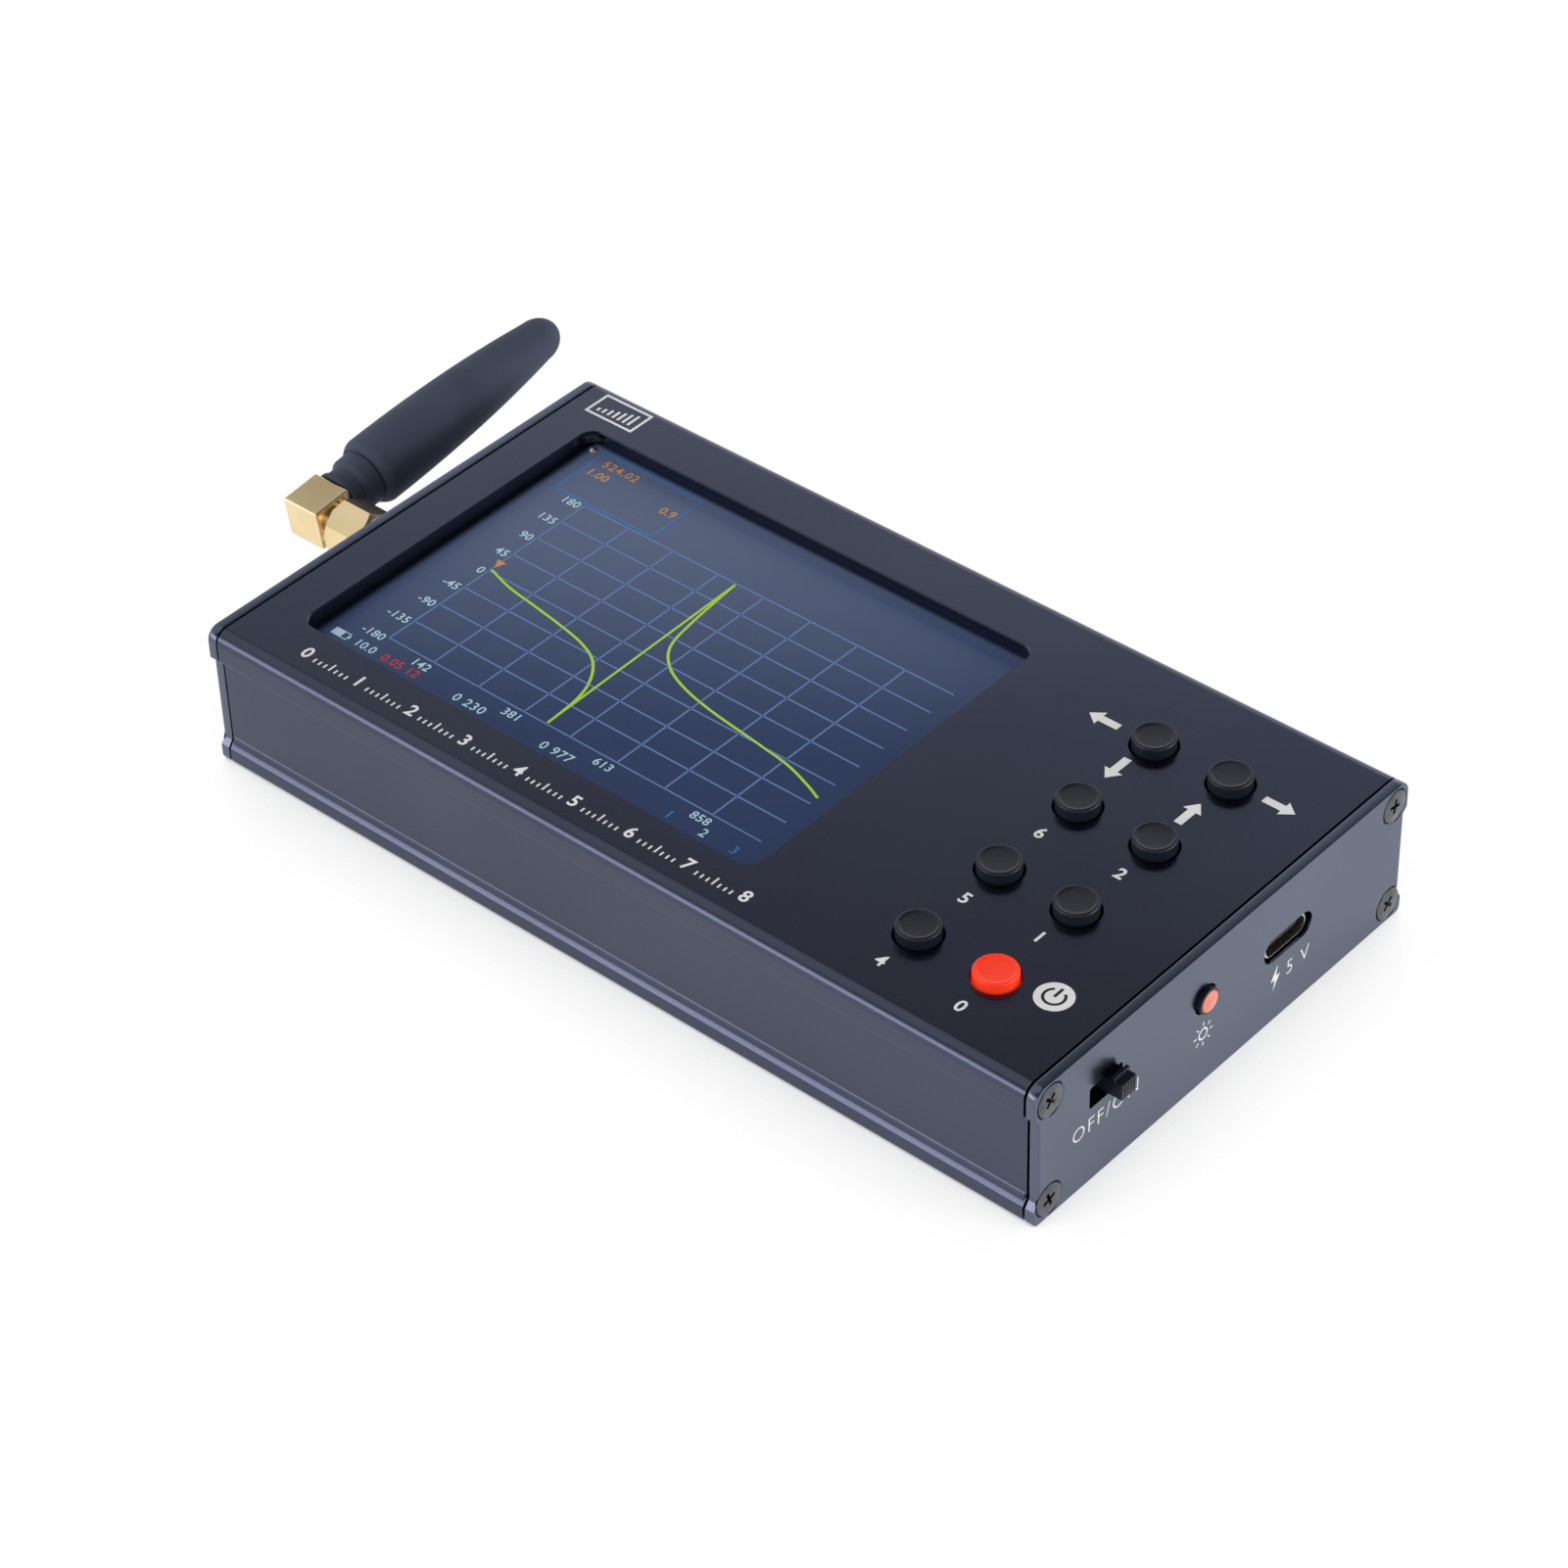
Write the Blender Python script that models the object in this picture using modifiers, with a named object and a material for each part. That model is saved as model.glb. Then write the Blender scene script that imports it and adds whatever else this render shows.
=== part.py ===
"""Hand-held antenna analyzer in a two-piece extruded case, with a stub antenna on an elbow.

Metres, +Z up. +X points to the end with the charging socket, +Y away from the hand, and the
origin is the middle of the case's flat underside.
"""

import math

import bmesh
import bpy
from mathutils import Matrix, Vector

# Clearances
seat_gap = 0.0003
cut_overrun = 0.001
weld_distance = 0.00001

# Case extrusion
case_length = 0.145
case_width = 0.0778
case_height = 0.0227
plate_thickness = 0.0016
plate_chamfer = 0.0002
top_wall = 0.0021
floor_wall = 0.0015
side_wall = 0.0014
side_recess = 0.00085
top_round = 0.0020
foot_round = 0.0008
top_bead_height = 0.0051
lip_round = 0.0004
foot_bead_height = 0.0025
foot_bead_slope = 0.0012
foot_bead_round = 0.0005
recess_round = 0.0009
inner_lip_drop = 0.0014
inner_lip_thickness = 0.0007

# Screw ports in the four long corners, and the screws in them
port_inset = 0.00295
port_radius = 0.0015
port_boss_radius = 0.0025
screw_head_radius = 0.0024
screw_head_depth = 0.0013
screw_shank_radius = 0.0012
screw_length = 0.0080
screw_cross_width = 0.00055
screw_cross_length = 0.0027
screw_cross_depth = 0.0010

# Screen window in the top face
window_end_margin = 0.0087
window_side_margin = 0.00975
key_field_length = 0.0545
window_corner = 0.0022

# Display stack under the window
lens_drop = 0.0025
lens_thickness = 0.0011
lens_overlap = 0.0022
panel_overhang = 0.0016
panel_side_inset = 0.00165
panel_thickness = 0.0024
panel_offset_y = -0.0011
panel_rim = 0.0012
panel_rim_height = 0.0003
display_board_end_margin = 0.0013
display_board_side_gap = 0.00365
display_board_thickness = 0.0012
display_post_inset_x = 0.0031
display_post_inset_y = 0.0028
display_post_radius = 0.0022
display_post_bore = 0.0012
header_length = 0.0254
header_width = 0.0050
header_inset = 0.0100

# Main circuit board in the lower shell's slots
board_height_share = 0.4714
board_thickness = 0.0016
board_end_gap = 0.0004
slot_rib_reach = 0.0016
slot_rib_height = 0.0009
shield_length = 0.0280
shield_width = 0.0260
shield_height_share = 0.72
shield_wall = 0.0004
shield_inset = 0.0120
shield_round = 0.0006
controller_side = 0.0100
controller_height = 0.0014
detector_side = 0.0050
detector_height_share = 0.35

# Battery and its plug on the underside of the board
battery_length = 0.0600
battery_width = 0.0400
battery_board_gap = 0.0013
battery_round = 0.0012
battery_seal_length = 0.0030
battery_seal_thickness = 0.0012
battery_x = -0.0050
plug_gap = 0.0070
plug_length = 0.0042
plug_width = 0.0060
plug_height_share = 0.8
socket_length = 0.0050
socket_width = 0.0074
socket_height_share = 0.55
lead_radius = 0.0005
lead_spacing = 0.0024

# Push keys: two columns of four
key_columns = 2
key_rows = 4
key_end_margin = 0.0173
key_pitch_x = 0.0125
key_near_margin = 0.013675
key_far_margin = 0.015675
key_radius = 0.00305
key_proud = 0.0017
power_key_proud = 0.00125
key_round = 0.0005
key_flange_radius = 0.0039
key_flange_thickness = 0.0010
key_flange_gap = 0.0004
key_skirt_gap = 0.0014
key_skirt_radius = 0.0028
key_leg_radius = 0.0017
key_leg_foot = 0.0005
switch_side = 0.0060
switch_height = 0.0035
switch_well_depth = 0.0011

# Charging socket in the end plate
socket_y = 0.01305
usb_shell_width = 0.0089
usb_shell_height = 0.00326
usb_shell_wall = 0.0003
usb_shell_length = 0.0074
usb_shell_setback = 0.0005
usb_cut_width = 0.0103
usb_cut_height = 0.0040
usb_tongue_width = 0.0066
usb_tongue_thickness = 0.0007
usb_tongue_setback = 0.0006
usb_block_depth = 0.0022

# Signal lamp in the end plate
lamp_y = -0.0046
lamp_height = 0.0034
lamp_hole_radius = 0.00225
lamp_collar_radius = 0.00195
lamp_collar_bore = 0.00115
lamp_collar_proud = 0.0002
lamp_collar_depth = 0.0044
lamp_lens_radius = 0.0019
lamp_lens_thickness = 0.0004
lamp_lens_round = 0.0002
lamp_stem_radius = 0.00085

# Slide switch in the end plate
slide_slot_y = -0.0249
slide_height = 0.00325
slide_slot_length = 0.0066
slide_slot_height = 0.0035
slide_slot_corner = 0.0004
slide_travel = 0.0030
slide_knob_width = 0.0030
slide_knob_height = 0.0026
slide_knob_proud = 0.0025
slide_knob_root = 0.0042
slide_knob_chamfer = 0.00015
slide_ridge_setback = 0.0011
slide_ridge_thickness = 0.0006
slide_ridge_height = 0.0007
slide_body_length = 0.0092
slide_body_depth = 0.0055
slide_body_height = 0.0061
slide_body_round = 0.0003

# Antenna jack in the other end plate
jack_y = -0.0025
jack_height = 0.0035
jack_body_side = 0.0064
jack_body_depth = 0.0035
jack_barrel_radius = 0.0031
jack_barrel_reach = 0.0090
jack_bore_radius = 0.0023
jack_bore_depth = 0.0070
jack_hole_radius = 0.0034
jack_insulator_bore = 0.0008
jack_washer_radius = 0.0044
jack_washer_thickness = 0.0005
jack_nut_flats = 0.0080
jack_nut_thickness = 0.0020

# Antenna: coupling nut, elbow and rubber stub
antenna_tilt = 6.5
coupling_flats = 0.0080
coupling_length = 0.0064
coupling_chamfer = 0.0007
coupling_bore_radius = 0.0034
coupling_collar = 0.0008
coupling_collar_radius = 0.0029
coupling_turn = 22.0
coupling_standoff = 0.0045
elbow_side = 0.0067
elbow_bevel = 0.00025
elbow_neck_radius = 0.0026
elbow_neck_reach = 0.0032
elbow_flange_radius = 0.0031
elbow_flange_thickness = 0.0005
elbow_bore_radius = 0.00075
elbow_bore_depth = 0.0020
elbow_spigot_radius = 0.0022
elbow_spigot_reach = 0.0030
pin_radius = 0.00045
pin_reach = 0.0030
whip_tip = 0.0501
whip_cap_length = 0.0041
whip_root_radius = 0.00535
whip_end_radius = 0.0033
whip_taper_power = 2.2
whip_shoulder = 0.0107
whip_shoulder_length = 0.0017
whip_collar_radius = 0.0042
whip_collar_length = 0.0018
whip_waist_radius = 0.0036
whip_foot_radius = 0.0039
whip_foot_length = 0.0006
whip_bore_gap = 0.0003

# Counts of flat facets round turned pieces
fine_facets = 20
key_facets = 16
small_facets = 12
arc_facets = 4
key_round_facets = 2

half_length = case_length / 2
half_width = case_width / 2
plate_inner_x = half_length - plate_thickness
shell_end_x = plate_inner_x - seat_gap
recess_y = half_width - side_recess
wall_inner_y = recess_y - side_wall
seam_z = case_height - top_bead_height
top_inner_z = case_height - top_wall
port_y = half_width - port_inset
port_top_z = case_height - port_inset
window_length = case_length - window_end_margin - key_field_length
window_width = case_width - 2 * window_side_margin
window_x = -half_length + window_end_margin + window_length / 2
lens_top_z = case_height - lens_drop
lens_bottom_z = lens_top_z - lens_thickness
panel_top_z = lens_bottom_z - seat_gap
panel_bottom_z = panel_top_z - panel_thickness
display_board_top_z = panel_bottom_z - seat_gap
display_board_bottom_z = display_board_top_z - display_board_thickness
panel_length = window_length + 2 * panel_overhang
panel_width = window_width - 2 * panel_side_inset
display_board_length = panel_length + 2 * display_board_end_margin
display_board_width = 2 * (wall_inner_y - display_board_side_gap)
header_x = window_x + display_board_length / 2 - header_inset
shield_x = -plate_inner_x + shield_inset + shield_length / 2
controller_x = (shield_x + shield_length / 2 + header_x - header_width / 2) / 2
board_top_z = board_height_share * case_height
board_bottom_z = board_top_z - board_thickness
on_board_z = board_top_z + seat_gap
post_height = display_board_bottom_z - seat_gap - on_board_z
shield_height = shield_height_share * post_height
detector_height = detector_height_share * shield_height
battery_bottom_z = floor_wall + seat_gap
battery_thickness = board_bottom_z - battery_board_gap - battery_bottom_z
socket_height = socket_height_share * (board_bottom_z - floor_wall)
plug_height = plug_height_share * socket_height
lamp_z = on_board_z + lamp_height
slide_z = on_board_z + slide_height
jack_z = on_board_z + jack_height
key_flange_top_z = top_inner_z - key_flange_gap
key_pitch_y = (case_width - key_near_margin - key_far_margin) / (key_rows - 1)
switch_top_z = on_board_z + switch_height
key_cap_bottom_z = switch_top_z + key_skirt_gap
coupling_end_x = -half_length - coupling_standoff
coupling_far_x = coupling_end_x - coupling_length
jack_tip_x = -half_length - jack_barrel_reach
elbow_neck_tip_x = jack_tip_x - seat_gap
elbow_face_x = elbow_neck_tip_x - elbow_neck_reach
elbow_x = elbow_face_x - elbow_side / 2

FACING_X = Matrix.Rotation(math.radians(90), 4, 'Y')
FACING_MINUS_X = Matrix.Rotation(math.radians(-90), 4, 'Y')
FACING_Y = Matrix.Rotation(math.radians(-90), 4, 'X')
PROFILE_ALONG_X = Matrix(((0, 0, 1, 0), (1, 0, 0, 0), (0, 1, 0, 0), (0, 0, 0, 1)))


def clear_scene():
    """Remove every object that is already there."""
    for scene_object in list(bpy.data.objects):
        bpy.data.objects.remove(scene_object, do_unlink=True)


def collection(name):
    """New collection linked to the scene."""
    made = bpy.data.collections.new(name)
    bpy.context.scene.collection.children.link(made)
    return made


def material(name, colour, roughness, metallic=0.0):
    """Principled material with one colour, roughness and metallic value."""
    made = bpy.data.materials.new(name)
    made.use_nodes = True
    shader = made.node_tree.nodes["Principled BSDF"]
    shader.inputs["Base Color"].default_value = (*colour, 1.0)
    shader.inputs["Roughness"].default_value = roughness
    shader.inputs["Metallic"].default_value = metallic
    return made


# Finishes
def black_anodised():
    return material("black_anodised", (0.020, 0.023, 0.030), 0.35, 0.6)


def gold_plate():
    return material("gold_plate", (0.83, 0.60, 0.24), 0.22, 1.0)


def black_rubber():
    return material("black_rubber", (0.030, 0.034, 0.042), 0.55)


def black_plastic():
    return material("black_plastic", (0.018, 0.020, 0.026), 0.45)


def red_plastic():
    return material("red_plastic", (0.85, 0.07, 0.02), 0.35)


def black_steel():
    return material("black_steel", (0.09, 0.10, 0.12), 0.35, 0.9)


def bright_steel():
    return material("bright_steel", (0.55, 0.56, 0.58), 0.25, 1.0)


def screen_glass():
    return material("screen_glass", (0.03, 0.045, 0.11), 0.12)


def circuit_green():
    return material("circuit_green", (0.02, 0.16, 0.06), 0.45)


def white_insulator():
    return material("white_insulator", (0.85, 0.85, 0.82), 0.5)


def foil_pouch():
    return material("foil_pouch", (0.55, 0.57, 0.60), 0.35, 0.8)


def lamp_amber():
    return material("lamp_amber", (0.85, 0.30, 0.20), 0.3)


def place(piece, group, finish):
    """Put a piece in its collection, give it its finish and shade it smooth."""
    for current in list(piece.users_collection):
        current.objects.unlink(piece)
    group.objects.link(piece)
    piece.data.materials.clear()
    piece.data.materials.append(finish)
    piece.data.shade_smooth()
    piece.data.set_sharp_from_angle(angle=math.radians(30))
    return piece


def as_cutter(tool):
    """Mark an object as a cutter or a half of a union, which isn't a piece by itself."""
    for current in list(tool.users_collection):
        current.objects.unlink(tool)
    cutters.objects.link(tool)
    tool.hide_render = True
    tool.display_type = 'WIRE'
    return tool


def combine(piece, tool, operation='DIFFERENCE'):
    """Cut a tool out of a piece, join it on or keep what both share."""
    as_cutter(tool)
    step = piece.modifiers.new(operation.lower(), 'BOOLEAN')
    step.operation = operation
    step.solver = 'EXACT'
    step.object = tool


def baked(piece):
    """The finished mesh of a piece, whose object is removed."""
    bpy.context.view_layer.update()
    depsgraph = bpy.context.evaluated_depsgraph_get()
    mesh = bpy.data.meshes.new_from_object(piece.evaluated_get(depsgraph))
    bpy.data.objects.remove(piece, do_unlink=True)
    return mesh


def new_object(name, mesh, matrix=None):
    """Object with a mesh, placed by a matrix."""
    made = bpy.data.objects.new(name, mesh)
    bpy.context.scene.collection.objects.link(made)
    if matrix is not None:
        made.matrix_world = matrix
    return made


def repeated(names, mesh, matrices, finish):
    """One object for each name, all with the same mesh, placed by the matrices."""
    for name, matrix in zip(names, matrices):
        place(new_object(name, mesh, matrix), parts, finish)


def bevelled(piece, width, segments=2):
    """Round a piece's sharp edges."""
    step = piece.modifiers.new("bevel", 'BEVEL')
    step.width = width
    step.segments = segments
    step.limit_method = 'ANGLE'
    return piece


def box(name, low, high):
    """Block between two corners, with its origin in its middle."""
    size = [b - a for a, b in zip(low, high)]
    middle = [(a + b) / 2 for a, b in zip(low, high)]
    shape = bmesh.new()
    bmesh.ops.create_cube(shape, size=1.0)
    bmesh.ops.scale(shape, vec=size, verts=shape.verts)
    mesh = bpy.data.meshes.new(name)
    shape.to_mesh(mesh)
    shape.free()
    return new_object(name, mesh, Matrix.Translation(middle))


def turned(name, rings, facets, matrix):
    """Solid of revolution. The (radius, height) rings run down the outer side, and back up a bore.

    A profile that begins and ends on the axis closes there. Any other one is closed as a loop.
    """
    shape = bmesh.new()
    points = [shape.verts.new((radius, 0, height)) for radius, height in rings]
    for first, second in zip(points, points[1:]):
        shape.edges.new((first, second))
    if rings[0][0] > 0:
        shape.edges.new((points[-1], points[0]))
    mesh = bpy.data.meshes.new(name)
    shape.to_mesh(mesh)
    shape.free()
    made = new_object(name, mesh, matrix)
    screw = made.modifiers.new("turn", 'SCREW')
    screw.axis = 'Z'
    screw.steps = facets
    screw.render_steps = facets
    screw.use_merge_vertices = True
    screw.merge_threshold = weld_distance
    return made


def cylinder(name, radius, low, high, facets, matrix):
    """Plain turned cylinder between two heights along the matrix's Z axis."""
    return turned(name, [(0, high), (radius, high), (radius, low), (0, low)], facets, matrix)


def hexagon(name, flats, low, high, matrix):
    """Six-sided prism between two heights, measured across its flats."""
    shape = bmesh.new()
    radius = flats / 2 / math.cos(math.radians(30))
    bmesh.ops.create_cone(shape, cap_ends=True, segments=6, radius1=radius, radius2=radius,
                          depth=high - low)
    bmesh.ops.rotate(shape, verts=shape.verts, cent=(0, 0, 0),
                     matrix=Matrix.Rotation(math.radians(30), 3, 'Z'))
    bmesh.ops.translate(shape, vec=(0, 0, (low + high) / 2), verts=shape.verts)
    mesh = bpy.data.meshes.new(name)
    shape.to_mesh(mesh)
    shape.free()
    return new_object(name, mesh, matrix)


def arc(centre, radius, first, last, facets=arc_facets):
    """Points on an arc between two angles in degrees."""
    points = []
    for index in range(facets + 1):
        angle = math.radians(first + (last - first) * index / facets)
        points.append((centre[0] + radius * math.cos(angle), centre[1] + radius * math.sin(angle)))
    return points


def rounded_outline(corners, facets=arc_facets):
    """Closed outline through corners (x, y, radius), each rounded by an arc of its radius."""
    points = []
    for index, (x, y, radius) in enumerate(corners):
        here = Vector((x, y))
        if radius == 0:
            points.append((x, y))
            continue
        before = (Vector(corners[index - 1][:2]) - here).normalized()
        after = (Vector(corners[(index + 1) % len(corners)][:2]) - here).normalized()
        half_angle = before.angle(after) / 2
        centre = here + (before + after).normalized() * radius / math.sin(half_angle)
        first = here + before * radius / math.tan(half_angle) - centre
        last = here + after * radius / math.tan(half_angle) - centre
        for step in range(facets + 1):
            points.append(tuple(centre + radius * first.slerp(last, step / facets)))
    return points


def mirrored(right_half):
    """Whole outline from its right half, which runs from the bottom of the middle line to the top."""
    return right_half + [(-point[0], *point[1:]) for point in reversed(right_half)]


def prism(name, loops, low, high, matrix):
    """Solid with the first loop as its outline and the others as holes, between two heights."""
    outline = bpy.data.curves.new(name, 'CURVE')
    outline.dimensions = '2D'
    outline.fill_mode = 'BOTH'
    outline.extrude = (high - low) / 2
    for loop in loops:
        spline = outline.splines.new('POLY')
        spline.points.add(len(loop) - 1)
        for point, place_2d in zip(spline.points, loop):
            point.co = (*place_2d, 0, 1)
        spline.use_cyclic_u = True
    mesh = baked(new_object(name, outline))
    shape = bmesh.new()
    shape.from_mesh(mesh)
    bmesh.ops.remove_doubles(shape, verts=shape.verts, dist=weld_distance)
    bmesh.ops.translate(shape, vec=(0, 0, (low + high) / 2), verts=shape.verts)
    shape.to_mesh(mesh)
    shape.free()
    return new_object(name, mesh, matrix)


def circle(centre, radius, facets=small_facets):
    """Closed round outline."""
    return arc(centre, radius, 0, 360 - 360 / facets, facets - 1)


def long_hole(centre, length, height):
    """Outline with half-round ends, its length along the first axis."""
    return rounded_outline([
        (centre[0] + length / 2, centre[1] - height / 2, height / 2 - weld_distance),
        (centre[0] + length / 2, centre[1] + height / 2, height / 2 - weld_distance),
        (centre[0] - length / 2, centre[1] + height / 2, height / 2 - weld_distance),
        (centre[0] - length / 2, centre[1] - height / 2, height / 2 - weld_distance),
    ])


def rounded_rectangle(centre, length, width, radius):
    """Outline of a rectangle with round corners."""
    return rounded_outline([
        (centre[0] + length / 2, centre[1] - width / 2, radius),
        (centre[0] + length / 2, centre[1] + width / 2, radius),
        (centre[0] - length / 2, centre[1] + width / 2, radius),
        (centre[0] - length / 2, centre[1] - width / 2, radius),
    ])


def wire(name, route, radius):
    """Round wire along a smooth route."""
    line = bpy.data.curves.new(name, 'CURVE')
    line.dimensions = '3D'
    line.bevel_depth = radius
    line.bevel_resolution = 2
    line.use_fill_caps = True
    line.resolution_u = arc_facets
    spline = line.splines.new('BEZIER')
    spline.bezier_points.add(len(route) - 1)
    for point, position in zip(spline.bezier_points, route):
        point.co = position
        point.handle_left_type = 'AUTO'
        point.handle_right_type = 'AUTO'
    mesh = baked(new_object(name, line))
    shape = bmesh.new()
    shape.from_mesh(mesh)
    bmesh.ops.remove_doubles(shape, verts=shape.verts, dist=weld_distance)
    shape.to_mesh(mesh)
    shape.free()
    return new_object(name, mesh)


def outer_corners():
    """Right half of the case's outline, from the middle of the bottom to the middle of the top."""
    return [
        (half_width, 0, foot_round),
        (half_width, foot_bead_height, foot_bead_round),
        (recess_y, foot_bead_height + foot_bead_slope, recess_round),
        (recess_y, seam_z - lip_round, 0),
        (half_width - lip_round, seam_z, 0),
        (half_width, seam_z + lip_round, 0),
        (half_width, case_height, top_round),
    ]


def port_places():
    """Middle of each of the four screw ports, as Y and Z."""
    return [(side * port_y, height) for side in (1, -1) for height in (port_inset, port_top_z)]


def shell_prism(name, half_outline, port_z):
    """Extruded shell from the right half of its outline, with a screw port on both sides."""
    loops = [mirrored(half_outline)]
    for side in (1, -1):
        loops.append(circle((side * port_y, port_z), port_radius))
    return prism(name, loops, -shell_end_x, shell_end_x, PROFILE_ALONG_X)


def lower_shell():
    """Channel with the recessed side walls, the foot beads, the board slots and the lower ports."""
    rib_inner_y = wall_inner_y - slot_rib_reach
    lower_rib_top = board_bottom_z - seat_gap
    upper_rib_bottom = board_top_z + seat_gap
    outside = rounded_outline([(0, 0, 0)] + outer_corners()[:3] + [(recess_y, seam_z - seat_gap, 0)])
    boss_top = math.degrees(math.acos((wall_inner_y - port_y) / port_boss_radius))
    boss_floor = 180 + math.degrees(math.asin((port_inset - floor_wall) / port_boss_radius))
    inside = [
        (wall_inner_y, seam_z - seat_gap),
        (wall_inner_y, upper_rib_bottom + slot_rib_height),
        (rib_inner_y, upper_rib_bottom + slot_rib_height),
        (rib_inner_y, upper_rib_bottom),
        (wall_inner_y, upper_rib_bottom),
        (wall_inner_y, lower_rib_top),
        (rib_inner_y, lower_rib_top),
        (rib_inner_y, lower_rib_top - slot_rib_height),
        (wall_inner_y, lower_rib_top - slot_rib_height),
    ]
    boss = arc((port_y, port_inset), port_boss_radius, boss_top, boss_floor, 2 * arc_facets)
    half = outside[1:] + inside + boss
    return place(shell_prism("lower_shell", half, port_inset), parts, finishes["case"])


def upper_shell():
    """Lid with the top beads, the upper ports, the inner lips, the screen window and the key holes."""
    lip_outer_y = wall_inner_y - seat_gap
    lip_inner_y = lip_outer_y - inner_lip_thickness
    boss_lip = -180 + math.degrees(math.acos((port_y - lip_inner_y) / port_boss_radius))
    boss_roof = -180 - math.degrees(math.asin((top_inner_z - port_top_z) / port_boss_radius))
    inside = arc((port_y, port_top_z), port_boss_radius, boss_roof, boss_lip, 2 * arc_facets)
    lip = [
        (lip_inner_y, seam_z - inner_lip_drop),
        (lip_outer_y, seam_z - inner_lip_drop),
        (lip_outer_y, seam_z),
    ]
    bead = rounded_outline([(0, seam_z, 0)] + outer_corners()[4:] + [(0, case_height, 0)])
    half = inside + lip + bead[1:-1]
    shell = shell_prism("upper_shell", half, port_top_z)
    window = prism("window_cutter", [rounded_rectangle((window_x, 0), window_length, window_width,
                                                       window_corner)],
                   top_inner_z - cut_overrun, case_height + cut_overrun, Matrix())
    combine(shell, window)
    for number, (x, y) in enumerate(key_places()):
        combine(shell, cylinder(f"key_hole_{number}", key_radius + seat_gap,
                                top_inner_z - cut_overrun, case_height + cut_overrun,
                                fine_facets, Matrix.Translation((x, y, 0))))
    return place(shell, parts, finishes["case"])


def end_plate(name, side, cuts):
    """Plate over one end of the case, with countersunk screw holes and its own cut-outs."""
    inner_x = side * plate_inner_x
    outer_x = side * half_length
    outline = rounded_outline(mirrored([(0, 0, 0)] + outer_corners() + [(0, case_height, 0)]))
    outline = [point for point in outline if abs(point[0]) > weld_distance]
    plate = prism(name, [outline], min(inner_x, outer_x), max(inner_x, outer_x), PROFILE_ALONG_X)
    bevelled(plate, plate_chamfer, 1)
    facing = FACING_X if side > 0 else FACING_MINUS_X
    for number, (y, z) in enumerate(port_places()):
        hole = turned(f"{name}_hole_{number}", [
            (0, cut_overrun),
            (screw_head_radius + seat_gap + cut_overrun, cut_overrun),
            (screw_head_radius + seat_gap, 0),
            (port_radius, -screw_head_depth),
            (port_radius, -plate_thickness - cut_overrun),
            (0, -plate_thickness - cut_overrun),
        ], small_facets, Matrix.Translation((outer_x, y, z)) @ facing)
        combine(plate, hole)
    for cut in cuts:
        combine(plate, cut)
    return place(plate, parts, finishes["case"])


def plate_cut(name, outline):
    """Cutter through the end plate with the charging socket."""
    return prism(name, [outline], plate_inner_x - cut_overrun, half_length + cut_overrun,
                 PROFILE_ALONG_X)


def usb_end_plate():
    """End plate with the holes for the charging socket, the lamp and the slide switch."""
    return end_plate("usb_end_plate", 1, [
        plate_cut("usb_cutter", long_hole((socket_y, usb_middle_z()), usb_cut_width, usb_cut_height)),
        plate_cut("lamp_cutter", circle((lamp_y, lamp_z), lamp_hole_radius, fine_facets)),
        plate_cut("slide_cutter", rounded_rectangle((slide_slot_y, slide_z), slide_slot_length,
                                                    slide_slot_height, slide_slot_corner)),
    ])


def antenna_end_plate():
    """End plate with the hole for the antenna jack."""
    hole = cylinder("jack_cutter", jack_hole_radius, -cut_overrun, plate_thickness + cut_overrun,
                    fine_facets, Matrix.Translation((-plate_inner_x, jack_y, jack_z)) @ FACING_MINUS_X)
    return end_plate("antenna_end_plate", -1, [hole])


def countersunk_screw():
    """Mesh of one screw, its head's flat at height 0 and its shank pointing down."""
    screw = turned("screw", [
        (0, 0),
        (screw_head_radius, 0),
        (screw_shank_radius, -screw_head_depth),
        (screw_shank_radius, -screw_length),
        (0, -screw_length),
    ], small_facets, Matrix())
    for axis in ('X', 'Y'):
        length = screw_cross_length if axis == 'X' else screw_cross_width
        width = screw_cross_width if axis == 'X' else screw_cross_length
        bar = box(f"screw_cross_{axis}", (-length / 2, -width / 2, -screw_cross_depth),
                  (length / 2, width / 2, cut_overrun))
        combine(screw, bar)
    return baked(screw)


def end_screws(name, side, mesh):
    """Four countersunk screws that hold an end plate on the shells."""
    facing = FACING_X if side > 0 else FACING_MINUS_X
    matrices = []
    for y, z in port_places():
        turn = Matrix.Rotation(y * z / port_inset ** 2, 4, 'Z')
        matrices.append(Matrix.Translation((side * half_length, y, z)) @ facing @ turn)
    names = [f"{name}_{number}" for number in range(1, len(matrices) + 1)]
    repeated(names, mesh, matrices, finishes["screw"])


def display_stack():
    """Cover lens, screen module and its carrier board, hung under the window."""
    lens = prism("display_lens", [rounded_rectangle(
        (window_x, 0), window_length + 2 * lens_overlap, window_width + 2 * lens_overlap,
        window_corner)], lens_bottom_z, lens_top_z, Matrix())
    place(lens, parts, finishes["lens"])
    low = (window_x - panel_length / 2, panel_offset_y - panel_width / 2, panel_bottom_z)
    high = (window_x + panel_length / 2, panel_offset_y + panel_width / 2, panel_top_z)
    panel = box("display_panel", low, high)
    tray = box("panel_cutter",
               (low[0] + panel_rim, low[1] + panel_rim, panel_top_z - panel_rim_height),
               (high[0] - panel_rim, high[1] - panel_rim, panel_top_z + cut_overrun))
    combine(panel, tray)
    place(panel, parts, finishes["steel"])
    board = box("display_board",
                (window_x - display_board_length / 2, -display_board_width / 2,
                 display_board_bottom_z),
                (window_x + display_board_length / 2, display_board_width / 2,
                 display_board_top_z))
    place(board, parts, finishes["board"])


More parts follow.
